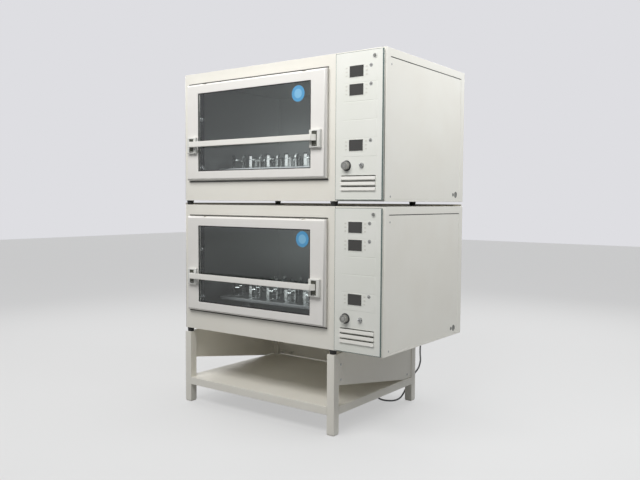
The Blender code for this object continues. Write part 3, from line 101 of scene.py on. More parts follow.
# Door and the chamber's mouth behind it
DOOR = {"left": 0.035, "right": 0.835, "bottom": 0.092, "top": 0.530, "face": -0.022}
GLASS_FACE = DOOR["face"] + 3.3 * MM
WINDOW = {"left": 0.111, "right": 0.760, "bottom": 0.133, "top": 0.487}
MOUTH = {"left": 0.090, "right": 0.782, "bottom": 0.120, "top": 0.498}
COLLAR_DEPTH = 0.037
STUD_DEPTH = 0.026
STUD_HEIGHTS = (0.150, 0.376)
LATCH_SLOTS = ((0.068, 0.094), (0.776, 0.802))
SLOT_BOTTOM = 0.2203
SLOT_TOP = 0.2807
STICKERS = {"lower_": (0.718, 0.446), "upper_": (0.693, 0.439)}
STICKER_RADIUS = 0.0332

# Covers, inlet, fan and platform
SIDE_COVER = {"front": 0.035, "rear": 0.650, "top": 0.549, "gap": 3 * MM}
# The visible cover is set back by a hair, so that its screws stay inside the cabinet's width
COVER_SET_BACK = 0.7 * MM
COVER_SCREW_INSET = 0.012
REAR_SCREWS_BETWEEN = (0.372, 0.732)
SIDE_SCREW_DEPTH = 0.042
SIDE_SCREW_HEIGHTS = (0.019, 0.523)
PORTS = ((0.586, 6 * MM), (0.612, 12 * MM))
PORT_HEIGHT = 0.032
INLET = {"across": 0.892, "height": 0.052, "width": 0.028, "tall": 0.020, "depth": 0.022}
FAN = {"across": 0.690, "height": 0.430, "front": 0.608, "radius": 0.076}
PLATFORM = {"left": 0.1285, "right": 0.7685, "front": 0.100, "rear": 0.570, "top": 0.150, "rim": 0.014}
CLAMP_COLUMNS = 6
CLAMP_ROWS = 3
CRANKS = ((0.436, 0.450), (0.216, 0.205), (0.656, 0.205))
CRANK_THROW = 12.5 * MM

# Power lead, its connector, coil and plug
CORD_RADIUS = 4 * MM
CORD_REST = CORD_RADIUS + 0.6 * MM
CONNECTOR_LENGTH = 0.022
RELIEF_LENGTH = 0.036
COIL_CENTRE = Vector((0.620, 0.760, 0))
COIL_RADIUS = 0.046
TIE_PLACE = radians(205)
PLUG_PLACE = radians(62)
PLUG_TURN = radians(167)
PLUG_SIZE = (0.046, 0.026, 0.022)
PLUG_LIFT = 0.0163 + PLUG_SIZE[2] / 2


def cabinet_corner(prefix):
    """The lower front left corner of a unit's cabinet, in the row frame."""
    low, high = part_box(prefix + "cabinet")
    return Vector((low.x, high.y - UNIT_DEPTH, low.z))


FLOOR_CORNER = cabinet_corner("lower_") - Vector((0, 0, UNIT_BASE))


# Camera

CAMERA_PLACE = Vector((1.9423, -2.6123, 0.9574))
CAMERA_YAW = 0.6362
CAMERA_PITCH = 0.0551
CAMERA_ROLL = 0.0063
CAMERA_LENS = 39.52


def make_camera():
    """The photograph's viewpoint: level with the gap between the units, in front and to the right."""
    level = cos(CAMERA_PITCH)
    ahead = Vector((-sin(CAMERA_YAW) * level, cos(CAMERA_YAW) * level, -sin(CAMERA_PITCH)))
    right = Vector((cos(CAMERA_YAW), sin(CAMERA_YAW), 0))
    up = right.cross(ahead)
    rolled_right = right * cos(CAMERA_ROLL) + up * sin(CAMERA_ROLL)
    rolled_up = up * cos(CAMERA_ROLL) - right * sin(CAMERA_ROLL)
    data = bpy.data.cameras.new("camera")
    data.lens = CAMERA_LENS
    data.sensor_width = 36
    camera = bpy.data.objects.new("camera", data)
    bpy.context.collection.objects.link(camera)
    facing = Matrix((rolled_right, rolled_up, -ahead)).transposed().to_4x4()
    camera.matrix_world = Matrix.Translation(CAMERA_PLACE) @ facing
    bpy.context.scene.camera = camera


make_camera()


# Node helper and finishes


def linear(hexa):
    """An sRGB hex colour as linear red, green, blue and alpha."""
    values = [int(hexa[i : i + 2], 16) / 255 for i in (1, 3, 5)]
    return (*[v / 12.92 if v <= 0.04045 else ((v + 0.055) / 1.055) ** 2.4 for v in values], 1)


def add(tree, kind, inputs=(), **settings):
    """Adds a node, makes its settings, and fills its inputs with values or links."""
    node = tree.nodes.new(kind)
    for name, value in settings.items():
        setattr(node, name, value)
    for key, value in dict(inputs).items():
        if isinstance(value, bpy.types.NodeSocket):
            tree.links.new(value, node.inputs[key])
        else:
            node.inputs[key].default_value = value
    return node


def new_material(name):
    """An empty node material and its tree."""
    material = bpy.data.materials.new(name)
    material.use_nodes = True
    tree = material.node_tree
    tree.nodes.clear()
    return material, tree


def powder_coat(name, colour, shade, roughness=0.42, coat=0.0):
    """Oven-baked powder coat on sheet steel: satin, faint orange peel, a little uneven with age."""
    material, tree = new_material(name)
    place = add(tree, "ShaderNodeTexCoord").outputs["Object"]
    inputs = {"Vector": place, "Scale": 1 / (220 * MM), "Detail": 3.0, "Roughness": 0.55}
    cloud = add(tree, "ShaderNodeTexNoise", inputs).outputs["Fac"]
    inputs = {"Value": cloud, "From Min": 0.35, "From Max": 0.68}
    spread = add(tree, "ShaderNodeMapRange", inputs).outputs["Result"]
    inputs = {0: spread, 6: linear(colour), 7: linear(shade)}
    tint = add(tree, "ShaderNodeMix", inputs, data_type="RGBA")
    inputs = {"Vector": place, "Scale": 1 / (9 * MM), "Detail": 2.0}
    dust = add(tree, "ShaderNodeTexNoise", inputs).outputs["Fac"]
    inputs = {"Value": dust, "To Min": roughness - 0.05, "To Max": roughness + 0.07}
    gloss = add(tree, "ShaderNodeMapRange", inputs).outputs["Result"]
    # Real peel is about 1 mm wide; this is 2.4 mm, so that it shows in the render
    inputs = {"Vector": place, "Scale": 1 / (2.4 * MM), "Detail": 1.5}
    peel = add(tree, "ShaderNodeTexNoise", inputs).outputs["Fac"]
    bump = add(tree, "ShaderNodeBump", {"Height": peel, "Strength": 0.12, "Distance": 0.3 * MM})
    inputs = {
        "Base Color": tint.outputs[2],
        "Roughness": gloss,
        "Normal": bump.outputs["Normal"],
        "IOR": 1.5,
        "Coat Weight": coat,
    }
    surface = add(tree, "ShaderNodeBsdfPrincipled", inputs).outputs[0]
    add(tree, "ShaderNodeOutputMaterial", {"Surface": surface})
    return material


def brushed_metal(name, colour, grain_axis, roughness=0.32):
    """Brushed or turned metal with parallel scratches."""
    material, tree = new_material(name)
    place = add(tree, "ShaderNodeTexCoord").outputs["Object"]
    # Real scratches are about 0.05 mm apart; these are 0.8 mm, so that they show in the render
    line = 0.8 * MM
    stretch = [1 / line] * 3
    stretch[grain_axis] = 1 / (line * 60)
    lay = add(tree, "ShaderNodeMapping", {"Vector": place, "Scale": stretch}).outputs["Vector"]
    inputs = {"Vector": lay, "Scale": 1.0, "Detail": 2.0}
    scratch = add(tree, "ShaderNodeTexNoise", inputs).outputs["Fac"]
    inputs = {"Value": scratch, "To Min": roughness - 0.08, "To Max": roughness + 0.1}
    gloss = add(tree, "ShaderNodeMapRange", inputs).outputs["Result"]
    bump = add(tree, "ShaderNodeBump", {"Height": scratch, "Strength": 0.2, "Distance": 0.1 * MM})
    inputs = {
        "Base Color": linear(colour),
        "Metallic": 1.0,
        "Roughness": gloss,
        "Normal": bump.outputs["Normal"],
    }
    surface = add(tree, "ShaderNodeBsdfPrincipled", inputs).outputs[0]
    add(tree, "ShaderNodeOutputMaterial", {"Surface": surface})
    return material


def moulded(name, colour, shade, roughness=0.5, coat=0.0):
    """Moulded plastic or rubber: spark-eroded grain and a little uneven shine."""
    material, tree = new_material(name)
    place = add(tree, "ShaderNodeTexCoord").outputs["Object"]
    # Real grain is about 0.3 mm wide; this is 1.6 mm, so that it shows in the render
    inputs = {"Vector": place, "Scale": 1 / (1.6 * MM), "Detail": 2.0}
    speck = add(tree, "ShaderNodeTexNoise", inputs).outputs["Fac"]
    inputs = {"Vector": place, "Scale": 1 / (40 * MM), "Detail": 2.0}
    cloud = add(tree, "ShaderNodeTexNoise", inputs).outputs["Fac"]
    tint = add(tree, "ShaderNodeMix", {0: cloud, 6: linear(colour), 7: linear(shade)}, data_type="RGBA")
    inputs = {"Value": cloud, "To Min": roughness - 0.08, "To Max": roughness + 0.08}
    gloss = add(tree, "ShaderNodeMapRange", inputs).outputs["Result"]
    bump = add(tree, "ShaderNodeBump", {"Height": speck, "Strength": 0.25, "Distance": 0.15 * MM})
    inputs = {
        "Base Color": tint.outputs[2],
        "Roughness": gloss,
        "Normal": bump.outputs["Normal"],
        "Coat Weight": coat,
    }
    surface = add(tree, "ShaderNodeBsdfPrincipled", inputs).outputs[0]
    add(tree, "ShaderNodeOutputMaterial", {"Surface": surface})
    return material


def smoked_pane(name, colour):
    """Smoked acrylic door pane: grey through its thickness, glossy, with a faint film of dust."""
    material, tree = new_material(name)
    place = add(tree, "ShaderNodeTexCoord").outputs["Object"]
    inputs = {"Vector": place, "Scale": 1 / (120 * MM), "Detail": 4.0}
    film = add(tree, "ShaderNodeTexNoise", inputs).outputs["Fac"]
    gloss = add(tree, "ShaderNodeMapRange", {"Value": film, "To Min": 0.01, "To Max": 0.05})
    inputs = {
        "Base Color": linear(colour),
        "Roughness": gloss.outputs["Result"],
        "IOR": 1.49,
        "Transmission Weight": 1.0,
    }
    surface = add(tree, "ShaderNodeBsdfPrincipled", inputs).outputs[0]
    add(tree, "ShaderNodeOutputMaterial", {"Surface": surface})
    return material


# Cream polyester powder coat on the steel cabinets and stand: warm, satin, faint orange peel
CREAM = powder_coat("cream_powder_coat", "#F0EDE3", "#EDE9DE")
# The same coat in a cooler, slightly greenish white on the control panels
PANEL_WHITE = powder_coat("panel_powder_coat", "#EEEEE7", "#E9EAE1")
# ABS door frame, moulded and lacquered: warmer, smoother and a little glossier than the cabinet
DOOR_WHITE = moulded("door_frame_abs", "#F1EEE9", "#ECE9E3", roughness=0.38, coat=0.15)
# Enamelled steel pull bar and louvre hoods: clean white with a soft highlight along a rounded edge; on the
# hoods, being paler than the panel also paints part of the light they catch
BAR_WHITE = powder_coat("pull_bar_enamel", "#F4F2EB", "#EFEDE5", roughness=0.34, coat=0.2)
# Pale grey enamel on the cast zinc latch blocks and the button's ring: cooler and duller than the bar
LATCH_GREY = powder_coat("latch_zinc_enamel", "#E2E2DD", "#D8D8D2", roughness=0.36)
# Extruded PVC edge trim: teal grey, matt; its strip on the panel's left edge also paints the shade line along
# that edge
TRIM_TEAL = moulded("edge_trim_pvc", "#5F6F6B", "#556561", roughness=0.45)
# ABS keys beside the displays: pale, matt
KEY_PALE = moulded("key_abs", "#E2E1D8", "#D8D7CD", roughness=0.5)
# Brushed stainless steel of the chamber: even grey with fine scratches along its width
STAINLESS = brushed_metal("chamber_stainless", "#B9BBBA", 0)
# Bright spring steel of the flask clamps
CLAMP_STEEL = brushed_metal("clamp_spring_steel", "#E3E5E4", 2, roughness=0.22)
# Clear anodised aluminium tray: paler and softer than the stainless walls
PLATFORM_METAL = brushed_metal("platform_anodised_aluminium", "#D3D5D6", 0, roughness=0.34)
# Turned aluminium knob: lines round its axis, a broad soft highlight
DIAL_METAL = brushed_metal("dial_turned_aluminium", "#A3A29E", 1, roughness=0.28)
# Chrome plate on the switch lever, fan guard, studs and plug blades: near-white, sharp reflections
CHROME = brushed_metal("chrome_plate", "#D8D9DA", 1, roughness=0.12)
# Zinc plate on the screws, the switch's nut and the lamps' rings: dull grey
ZINC = brushed_metal("screw_zinc_plate", "#A7A8A6", 2, roughness=0.38)
# Dark moulded ABS and nylon: near black with a fine grain
DARK_PLASTIC = moulded("dark_abs", "#2B2C2D", "#232425", roughness=0.45)
# Black rubber feet and seals, and the strips that paint the shadow lines above and below each door and in the
# seams over the side cover and beside the column: matt, slightly dusty
RUBBER = moulded("black_rubber", "#1C1C1C", "#242423", roughness=0.7)
# Grey PVC sheath of the lead: satin
CORD_PVC = moulded("cord_grey_pvc", "#6E6F70", "#646566", roughness=0.5)
# Smoked polycarbonate of the display windows: dark with a hard gloss
LENS = moulded("display_polycarbonate", "#373632", "#31302C", roughness=0.14, coat=0.6)
# Unlit grey lamp lenses: translucent-looking, glossy
LAMP_LENS = moulded("lamp_lens_acrylic", "#8B8C86", "#7D7E78", roughness=0.25)
# Plain vinyl stickers on the glass: flat colour, matt
STICKER_BLUE = moulded("sticker_vinyl_blue", "#5AA0CD", "#5299C7", roughness=0.45)
STICKER_PALE = moulded("sticker_vinyl_pale", "#86BFE0", "#7DB8DB", roughness=0.45)
# Grey PVC port grommets, light button and dial cap: matt mid grey
GREY_PVC = moulded("grey_pvc", "#8A8B86", "#80817C", roughness=0.5)
# Acetal liners of the latch slots and tongues of the bar's arms, and the thin sheets that paint the shade on
# the slots' floors and sides: dark olive grey, matt
POCKET_GREY = moulded("latch_acetal_and_slot_shade", "#4C4D43", "#43443B", roughness=0.55)
# White nylon wing nuts on the stand: pale, soft shine
NYLON = moulded("white_nylon", "#E9E7DE", "#E0DED4", roughness=0.42)
# Lightly smoked acrylic of the pane in each door: grey tint, hard gloss
SMOKED = smoked_pane("smoked_acrylic", "#DDE2E1")


# Modelling helpers


def make_piece(name, shape, material, body, slot, merge=1e-6):
    """Turns a finished bmesh into a named piece that rides on a body."""
    bmesh.ops.remove_doubles(shape, verts=shape.verts, dist=merge)
    bmesh.ops.recalc_face_normals(shape, faces=shape.faces)
    mesh = bpy.data.meshes.new(name)
    shape.to_mesh(mesh)
    shape.free()
    mesh.materials.append(material)
    mesh.shade_smooth()
    mesh.set_sharp_from_angle(angle=radians(35))
    piece = bpy.data.objects.new(name, mesh)
    bpy.context.collection.objects.link(piece)
    shading = piece.modifiers.new("even_shading", "WEIGHTED_NORMAL")
    shading.keep_sharp = True
    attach(piece, body)
    return piece


def round_edges(shape, edges, width, segments=2):
    """Rounds edges over by a width."""
    bmesh.ops.bevel(
        shape, geom=list(edges), offset=width, segments=segments, profile=0.5, affect="EDGES", material=-1
    )


def block(shape, low, high, soften=0.0, segments=2):
    """Adds a block between two corners, with its edges rounded over."""
    low, high = Vector(low), Vector(high)
    place = Matrix.Translation((low + high) / 2) @ Matrix.Diagonal((*(high - low), 1))
    made = bmesh.ops.create_cube(shape, size=1, matrix=place)
    if soften:
        round_edges(shape, {e for v in made["verts"] for e in v.link_edges}, soften, segments)


def turn(shape, profile, centre, way, steps=32):
    """Spins a profile of (radius, distance along the way) pairs into a closed turned shape."""
    way = Vector(way).normalized()
    side = way.orthogonal().normalized()
    centre = Vector(centre)
    points = [shape.verts.new(centre + side * r + way * along) for r, along in profile]
    edges = [shape.edges.new(pair) for pair in zip(points, points[1:])]
    bmesh.ops.spin(
        shape, geom=points + edges, cent=centre, axis=way, angle=2 * pi, steps=steps, use_merge=True
    )


def in_mm(profile):
    """A profile written in millimetres, as metres."""
    return [(r * MM, along * MM) for r, along in profile]


def washer(inner, outer, thick, edge=0.3 * MM):
    """Profile of a flat ring with broken outer corners, closed on itself."""
    return [
        (inner, 0), (outer, 0), (outer, thick - edge), (outer - edge, thick), (inner + edge, thick),
        (inner, thick - edge), (inner, 0),
    ]


def bead(radius, wire, along, sides=8):
    """Profile of a round wire bent into a ring."""
    angles = [2 * pi * step / sides for step in range(sides + 1)]
    return [(radius + wire * cos(a), along + wire * sin(a)) for a in angles]


def border(shape, low, high, width, depth):
    """Adds an upright rectangular ring between two corners of a front plane, as deep as asked."""
    middle = (low + high) / 2
    across = Matrix.Diagonal((high.x - low.x, 1, high.z - low.z, 1))
    place = Matrix.Translation(middle) @ across @ Matrix.Rotation(pi / 2, 4, "X")
    made = bmesh.ops.create_grid(shape, x_segments=1, y_segments=1, size=0.5, matrix=place)
    face = next(iter(made["verts"][0].link_faces))
    rim = bmesh.ops.inset_region(
        shape, faces=[face], thickness=width, use_even_offset=True, use_boundary=True
    )["faces"]
    bmesh.ops.delete(shape, geom=[face], context="FACES")
    grown = bmesh.ops.extrude_face_region(shape, geom=rim)["geom"]
    moved = [item for item in grown if isinstance(item, bmesh.types.BMVert)]
    bmesh.ops.translate(shape, verts=moved, vec=(0, depth, 0))


def screw(shape, centre, way, radius=4 * MM):
    """A pan-head screw with a round driver recess, its head standing on a surface."""
    profile = [(0, 0), (1, 0), (1, 0.22), (0.86, 0.42), (0.5, 0.54), (0.26, 0.55), (0.2, 0.3), (0, 0.26)]
    turn(shape, [(r * radius, along * radius) for r, along in profile], centre, way, 16)


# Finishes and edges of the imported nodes

# What each node is finished in: material, slot, edge radius, and the shortest edge that is rounded
NODE_FINISHES = {
    "rear_cover": (CREAM, "cream_paint", 0.7 * MM, 0.1),
    "side_cover": (CREAM, "cream_paint", 0.7 * MM, 0.1),
    "cabinet": (CREAM, "cream_paint", 1.0 * MM, 0.1),
    "stand_back": (CREAM, "cream_paint", 0.8 * MM, 0.1),
    "stand_shelf": (CREAM, "cream_paint", 1.2 * MM, 0.3),
    "stand_side": (CREAM, "cream_paint", 1.0 * MM, 0.1),
    "control_panel": (PANEL_WHITE, "panel_white", 0.3 * MM, 0.03),
    "door_frame": (DOOR_WHITE, "door_white", 1.4 * MM, 0.3),
    "latch_block": (LATCH_GREY, "latch_metal", 0.7 * MM, 0.02),
    "handle_bar": (BAR_WHITE, "handle_white", 1.2 * MM, 0.3),
    "chamber_liner": (STAINLESS, "stainless_steel", 1.0 * MM, 0.3),
    "fan_rotor": (DARK_PLASTIC, "dark_plastic", 0, 0),
    "door_gasket": (RUBBER, "black_rubber", 0.8 * MM, 0.3),
    "crank": (STAINLESS, "stainless_steel", 0, 0),
    "motor_pulley": (STAINLESS, "stainless_steel", 0, 0),
    "drive_belt": (RUBBER, "black_rubber", 0, 0),
    "drive_motor": (DARK_PLASTIC, "dark_plastic", 0, 0),
    "light_button": (GREY_PVC, "dark_plastic", 0, 0),
    "foot": (RUBBER, "black_rubber", 0, 0),
}
# Nodes shown as they are, or until a piece below stands for them
PLAIN_FINISHES = {
    "door_glass": SMOKED,
    "platform": PLATFORM_METAL,
    "speed_dial": DIAL_METAL,
    "toggle_lever": CHROME,
    "inlet_connector": RUBBER,
    "power_plug": RUBBER,
    "cord": CORD_PVC,
}


def finish_node(name, material, slot, width, shortest):
    """Shows a node's own shape with its long edges rounded and its round faces smooth."""
    node = frame["nodes"][name]
    shape = bmesh.new()
    shape.from_mesh(node.data)
    bmesh.ops.remove_doubles(shape, verts=shape.verts, dist=0.02 * MM)
    bmesh.ops.dissolve_limit(shape, angle_limit=radians(1), verts=shape.verts, edges=shape.edges)
    if "side_cover" in name:
        outer = max(v.co.x for v in shape.verts)
        face = [v for v in shape.verts if v.co.x > outer - 0.1 * MM]
        bmesh.ops.translate(shape, verts=face, vec=(-COVER_SET_BACK, 0, 0))
    if width:
        long_edges = [e for e in shape.edges if e.calc_length() > shortest]
        round_edges(shape, [e for e in long_edges if e.calc_face_angle(0) > radians(30)], width)
    piece = make_piece(name + "_finished", shape, material, node["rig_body"], slot)
    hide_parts(name)


for node_name, node in frame["nodes"].items():
    finish = next((values for part, values in NODE_FINISHES.items() if part in node_name), None)
    plain = next((material for part, material in PLAIN_FINISHES.items() if part in node_name), None)
    node.data.materials.clear()
    node.data.materials.append(finish[0] if finish else plain)
    if finish:
        finish_node(node_name, *finish)


# Power lead


def cord_route():
    """Route of the free lead from the end of its strain relief to the coil, as the model lays it."""
    start = UNIT_DEPTH + CONNECTOR_LENGTH + RELIEF_LENGTH + 0.3 * MM
    across = INLET["across"]
    inlet = UNIT_BASE + INLET["height"]
    turning, bend = start + 0.012, 0.042
    swing = [(turning + bend * cos(a), inlet - bend * (1 - sin(a))) for a in map(radians, (70, 47, 24))]
    return [
        (across, start, inlet),
        (across, turning, inlet),
        *[(across - drift, *point) for drift, point in zip((0.0002, 0.0012, 0.0035), swing)],
        (0.882, 0.7965, 0.354),
        (0.869, 0.7945, 0.322),
        (0.856, 0.786, 0.288),
        (0.849, 0.771, 0.252),
        (0.856, 0.754, 0.214),
        (0.866, 0.739, 0.180),
        (0.863, 0.726, 0.147),
        (0.847, 0.714, 0.118),
        (0.831, 0.702, 0.088),
        (0.822, 0.685, 0.056),
        (0.819, 0.661, 0.029),
        (0.818, 0.631, 0.0125),
        (0.812, 0.601, 0.0062),
        (0.792, 0.576, CORD_REST),
        (0.759, 0.567, CORD_REST),
        (0.726, 0.582, CORD_REST),
        (0.704, 0.614, CORD_REST),
        (0.689, 0.655, CORD_REST),
        (0.678, 0.704, CORD_REST),
    ]


def eased(turned, start, span):
    """How far along a smooth change is, after so many turns of the coil."""
    share = min(1.0, max(0.0, (turned - start) / span))
    return (1 - cos(pi * share)) / 2


def coil_turns():
    """Three turns and a part, two wide and two high, the last one rising into the plug's rear end."""
    steps = 24
    inner, outer = COIL_RADIUS - CORD_RADIUS, COIL_RADIUS + CORD_RADIUS
    low, high = CORD_REST, 3 * CORD_RADIUS + 0.8 * MM
    top = 4 * CORD_RADIUS + 11.3 * MM
    points = []
    for step in range(3 * steps + 4):
        turned = step / steps
        wound_in = eased(turned, 0.75, 0.25) - eased(turned, 2.25, 0.25)
        radius = outer + (inner - outer) * wound_in
        height = low + (high - low) * eased(turned, 1.5, 0.25) + (top - high) * eased(turned, 2.90, 0.27)
        angle = 2 * pi * turned
        points.append(COIL_CENTRE + Vector((radius * cos(angle), radius * sin(angle), height)))
    return points


def make_lead():
    """The lead as one smooth round cable; also gives its first point and its length."""
    route = [Vector(p) + FLOOR_CORNER for p in (*cord_route(), *coil_turns())]
    line = bpy.data.curves.new("power_lead", "CURVE")
    line.dimensions = "3D"
    line.bevel_depth = CORD_RADIUS
    line.bevel_resolution = 4
    line.use_fill_caps = True
    line.resolution_u = 6
    spline = line.splines.new("BEZIER")
    spline.bezier_points.add(len(route) - 1)
    ahead, behind = [*route[1:], route[-1]], [route[0], *route[:-1]]
    for point, here, after, before in zip(spline.bezier_points, route, ahead, behind):
        way = (after - before).normalized()
        point.co = here
        point.handle_left = here - way * (here - before).length / 3
        point.handle_right = here + way * (after - here).length / 3
    line.materials.append(CORD_PVC)
    lead = bpy.data.objects.new("power_lead", line)
    bpy.context.collection.objects.link(lead)
    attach(lead, "frame")
    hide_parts("power_cord", "cord_coil")
    bends = list(spline.bezier_points)
    fine = []
    for a, b in zip(bends, bends[1:]):
        fine += interpolate_bezier(a.co, a.handle_right, b.handle_left, b.co, 12)
    return lead, route[0], sum((b - a).length for a, b in zip(fine, fine[1:]))


def make_connector():
    """Appliance connector in the lower inlet, with its ribbed, tapered strain relief."""
    middle = FLOOR_CORNER + Vector((INLET["across"], UNIT_DEPTH, UNIT_BASE + INLET["height"]))
    half_x, half_z = INLET["width"] / 2 - 0.6 * MM, INLET["tall"] / 2 - 0.6 * MM
    nose, body = INLET["depth"] - 0.3 * MM, CONNECTOR_LENGTH
    shape = bmesh.new()
    low = middle + Vector((-half_x, -nose, -half_z))
    block(shape, low, middle + Vector((half_x, 2 * MM, half_z)), 1.2 * MM)
    low = middle + Vector((-half_x + 0.2 * MM, 1 * MM, -half_z + 0.2 * MM))
    block(shape, low, middle + Vector((half_x - 0.2 * MM, body, half_z - 0.2 * MM)), 3 * MM, 3)
    ribs, length = 6, RELIEF_LENGTH
    root, tip = 7.6 * MM, 4.6 * MM
    sleeve = [(0, 0), (root, 0)]
    for rib in range(ribs):
        near, far = (rib + 0.15) / ribs, (rib + 0.62) / ribs
        for share, sunk in ((near, 0), (near + 0.02, 0.9 * MM), (far, 0.9 * MM), (far + 0.02, 0)):
            sleeve.append((max(root + (tip - root) * share - sunk, CORD_RADIUS + 0.1 * MM), length * share))
    sleeve += [(tip, length), (CORD_RADIUS - 0.5 * MM, length), (0, length)]
    turn(shape, sleeve, middle + Vector((0, body - 1 * MM, 0)), (0, 1, 0), 24)
    piece = make_piece("appliance_connector", shape, RUBBER, "frame", "black_rubber")
    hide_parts("inlet_connector")


def make_plug():
    """Moulded mains plug lying on the coil: rounded body with grip ridges, a tapered boot and its blades."""
    rear = COIL_CENTRE + Vector((COIL_RADIUS * cos(PLUG_PLACE), COIL_RADIUS * sin(PLUG_PLACE), PLUG_LIFT))
    lay = Matrix.Translation(FLOOR_CORNER + rear) @ Matrix.Rotation(PLUG_TURN, 4, "Z")
    length, width, height = PLUG_SIZE
    shape = bmesh.new()
    block(shape, (0, -width / 2, -height / 2), (length - 6 * MM, width / 2, height / 2), 3.5 * MM, 3)
    block(shape, (length - 12 * MM, -width / 2, -height / 2), (length, width / 2, height / 2), 1.2 * MM)
    for ridge in range(5):
        near = 8 * MM + ridge * 4.5 * MM
        for side in (-1, 1):
            outer = side * (width / 2 + 0.1 * MM)
            low, high = sorted((side * (width / 2 - 1 * MM), outer))
            block(shape, (near, low, -height * 0.32), (near + 2 * MM, high, height * 0.32), 0.4 * MM)
    boot = in_mm([(0, 2), (7.4, 2), (7.4, 0), (6.2, -4), (5.0, -8), (4.5, -9), (0, -9)])
    turn(shape, boot, (0, 0, 0), (1, 0, 0), 20)
    bmesh.ops.transform(shape, matrix=lay, verts=shape.verts)
    piece = make_piece("mains_plug", shape, RUBBER, "frame", "black_rubber")
    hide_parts("power_plug")
    shape = bmesh.new()
    for offset in (-6.3 * MM, 6.3 * MM):
        low = (length - 2 * MM, offset - 0.75 * MM, -3 * MM)
        block(shape, low, (length + 16 * MM, offset + 0.75 * MM, 3 * MM), 0.5 * MM)
    bmesh.ops.transform(shape, matrix=lay, verts=shape.verts)
    make_piece("plug_blades", shape, CHROME, "frame", "chrome")


def make_tie():
    """A nylon tie round the strands of the coil."""
    half, thick, broad = 8.5 * MM, 0.5 * MM, 5 * MM
    middle = FLOOR_CORNER + COIL_CENTRE + Vector((0, 0, 2 * CORD_RADIUS + 0.7 * MM))
    shape = bmesh.new()
    border(shape, Vector((-half, 0, -half)), Vector((half, 0, half)), thick, broad)
    block(shape, (half - 1 * MM, -1 * MM, -4 * MM), (half + 3 * MM, broad + 1 * MM, 2 * MM), 0.5 * MM)
    place = Matrix.Translation(middle) @ Matrix.Rotation(TIE_PLACE, 4, "Z")
    place = place @ Matrix.Translation((COIL_RADIUS, -broad / 2, 0))
    bmesh.ops.transform(shape, matrix=place, verts=shape.verts)
    make_piece("coil_tie", shape, DARK_PLASTIC, "frame", "dark_plastic")


lead, lead_exit, lead_length = make_lead()
make_connector()
make_plug()
make_tie()
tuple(lead_exit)


# Control column


def controller_fronts(prefix, spot):
    """Display windows in their pale bezels, blank keys beside them, and a lamp on each module."""
    width, height = DISPLAY_SIZE
    gap, rim = 0.4 * MM, 1.6 * MM
    lens_rear = PANEL_FACE + DISPLAY_RECESS - 0.05 * MM
    lenses, bezels, keys, lamps, rings = (bmesh.new() for _ in range(5))
    for bottom in DISPLAY_BOTTOMS:
        low = spot(DISPLAY_LEFT + gap, MODULE_FACE + 0.3 * MM, bottom + gap)
        block(lenses, low, spot(DISPLAY_LEFT + width - gap, lens_rear, bottom + height - gap), 0.3 * MM)
        low = spot(DISPLAY_LEFT - rim, MODULE_FACE - 0.8 * MM, bottom - rim)
        high = spot(DISPLAY_LEFT + width + rim, MODULE_FACE - 0.8 * MM, bottom + height + rim)
        border(bezels, low, high, rim, 0.8 * MM)
        half = Vector((KEY_SIZE[0] / 2, 0, KEY_SIZE[1] / 2))
        for across in KEY_PLACES:
            for up in KEY_HEIGHTS:
                centre = spot(across, MODULE_FACE, bottom + up)
                block(keys, centre - half - Vector((0, 0.9 * MM, 0)), centre + half, 0.5 * MM)
        lens = in_mm([(0, 0), (3.6, 0), (3.6, 1.2), (2.9, 1.6), (2.3, 2.4), (1.2, 3), (0, 3.2)])
        place = spot(LAMP_ACROSS, MODULE_FACE, bottom + height - LAMP_DROP)
        turn(lamps, lens, place, (0, -1, 0), 20)
        turn(rings, washer(3.7 * MM, 7.4 * MM, 0.9 * MM), place, (0, -1, 0), 28)
    make_piece(prefix + "display_windows", lenses, LENS, "frame", "smoked_glass")
    make_piece(prefix + "display_bezels", bezels, PANEL_WHITE, "frame", "panel_white")
    make_piece(prefix + "module_keys", keys, KEY_PALE, "frame", "panel_white")
    make_piece(prefix + "module_lamps", lamps, LAMP_LENS, "frame", "dark_plastic")
    make_piece(prefix + "lamp_rings", rings, ZINC, "frame", "chrome")


def panel_edges(prefix, spot):
    """PVC trim round the panel's free edges, and the dark seam beside the chamber; the trim's left strip and
    the black seam strip also paint the shade line along the panel's left edge.
    """
    left, right, bottom, top = (PANEL[side] for side in ("left", "right", "bottom", "top"))
    front, back = PANEL_FACE - 0.6 * MM, -0.4 * MM
    proud, lap, rise = 1.3 * MM, 0.8 * MM, 0.4 * MM
    shape = bmesh.new()
    for low, high in (
        ((right - lap, front, bottom - proud), (right + proud, front + 8 * MM, top + rise)),
        ((left, front, bottom - proud), (right, back, bottom + lap)),
        ((left, front + 0.2 * MM, top - 0.7 * MM), (right, back, top + rise)),
        # The left strip also paints the shade line along the panel's left edge
        ((left - lap, front + 0.2 * MM, bottom), (left + 0.5 * MM, back, top)),
    ):
        block(shape, spot(*low), spot(*high), 0.3 * MM)
    make_piece(prefix + "panel_trim", shape, TRIM_TEAL, "frame", "dark_plastic")
    # A black strip in the seam beside the chamber, which also paints the shade line there
    shape = bmesh.new()
    low = spot(CHAMBER_WIDTH + 0.2 * MM, -0.35 * MM, 2 * MM)
    block(shape, low, spot(CHAMBER_WIDTH + 1.7 * MM, 0.2 * MM, UNIT_HEIGHT - 2 * MM), 0.1 * MM)
    make_piece(prefix + "column_seam_shade", shape, RUBBER, "frame", "black_rubber")


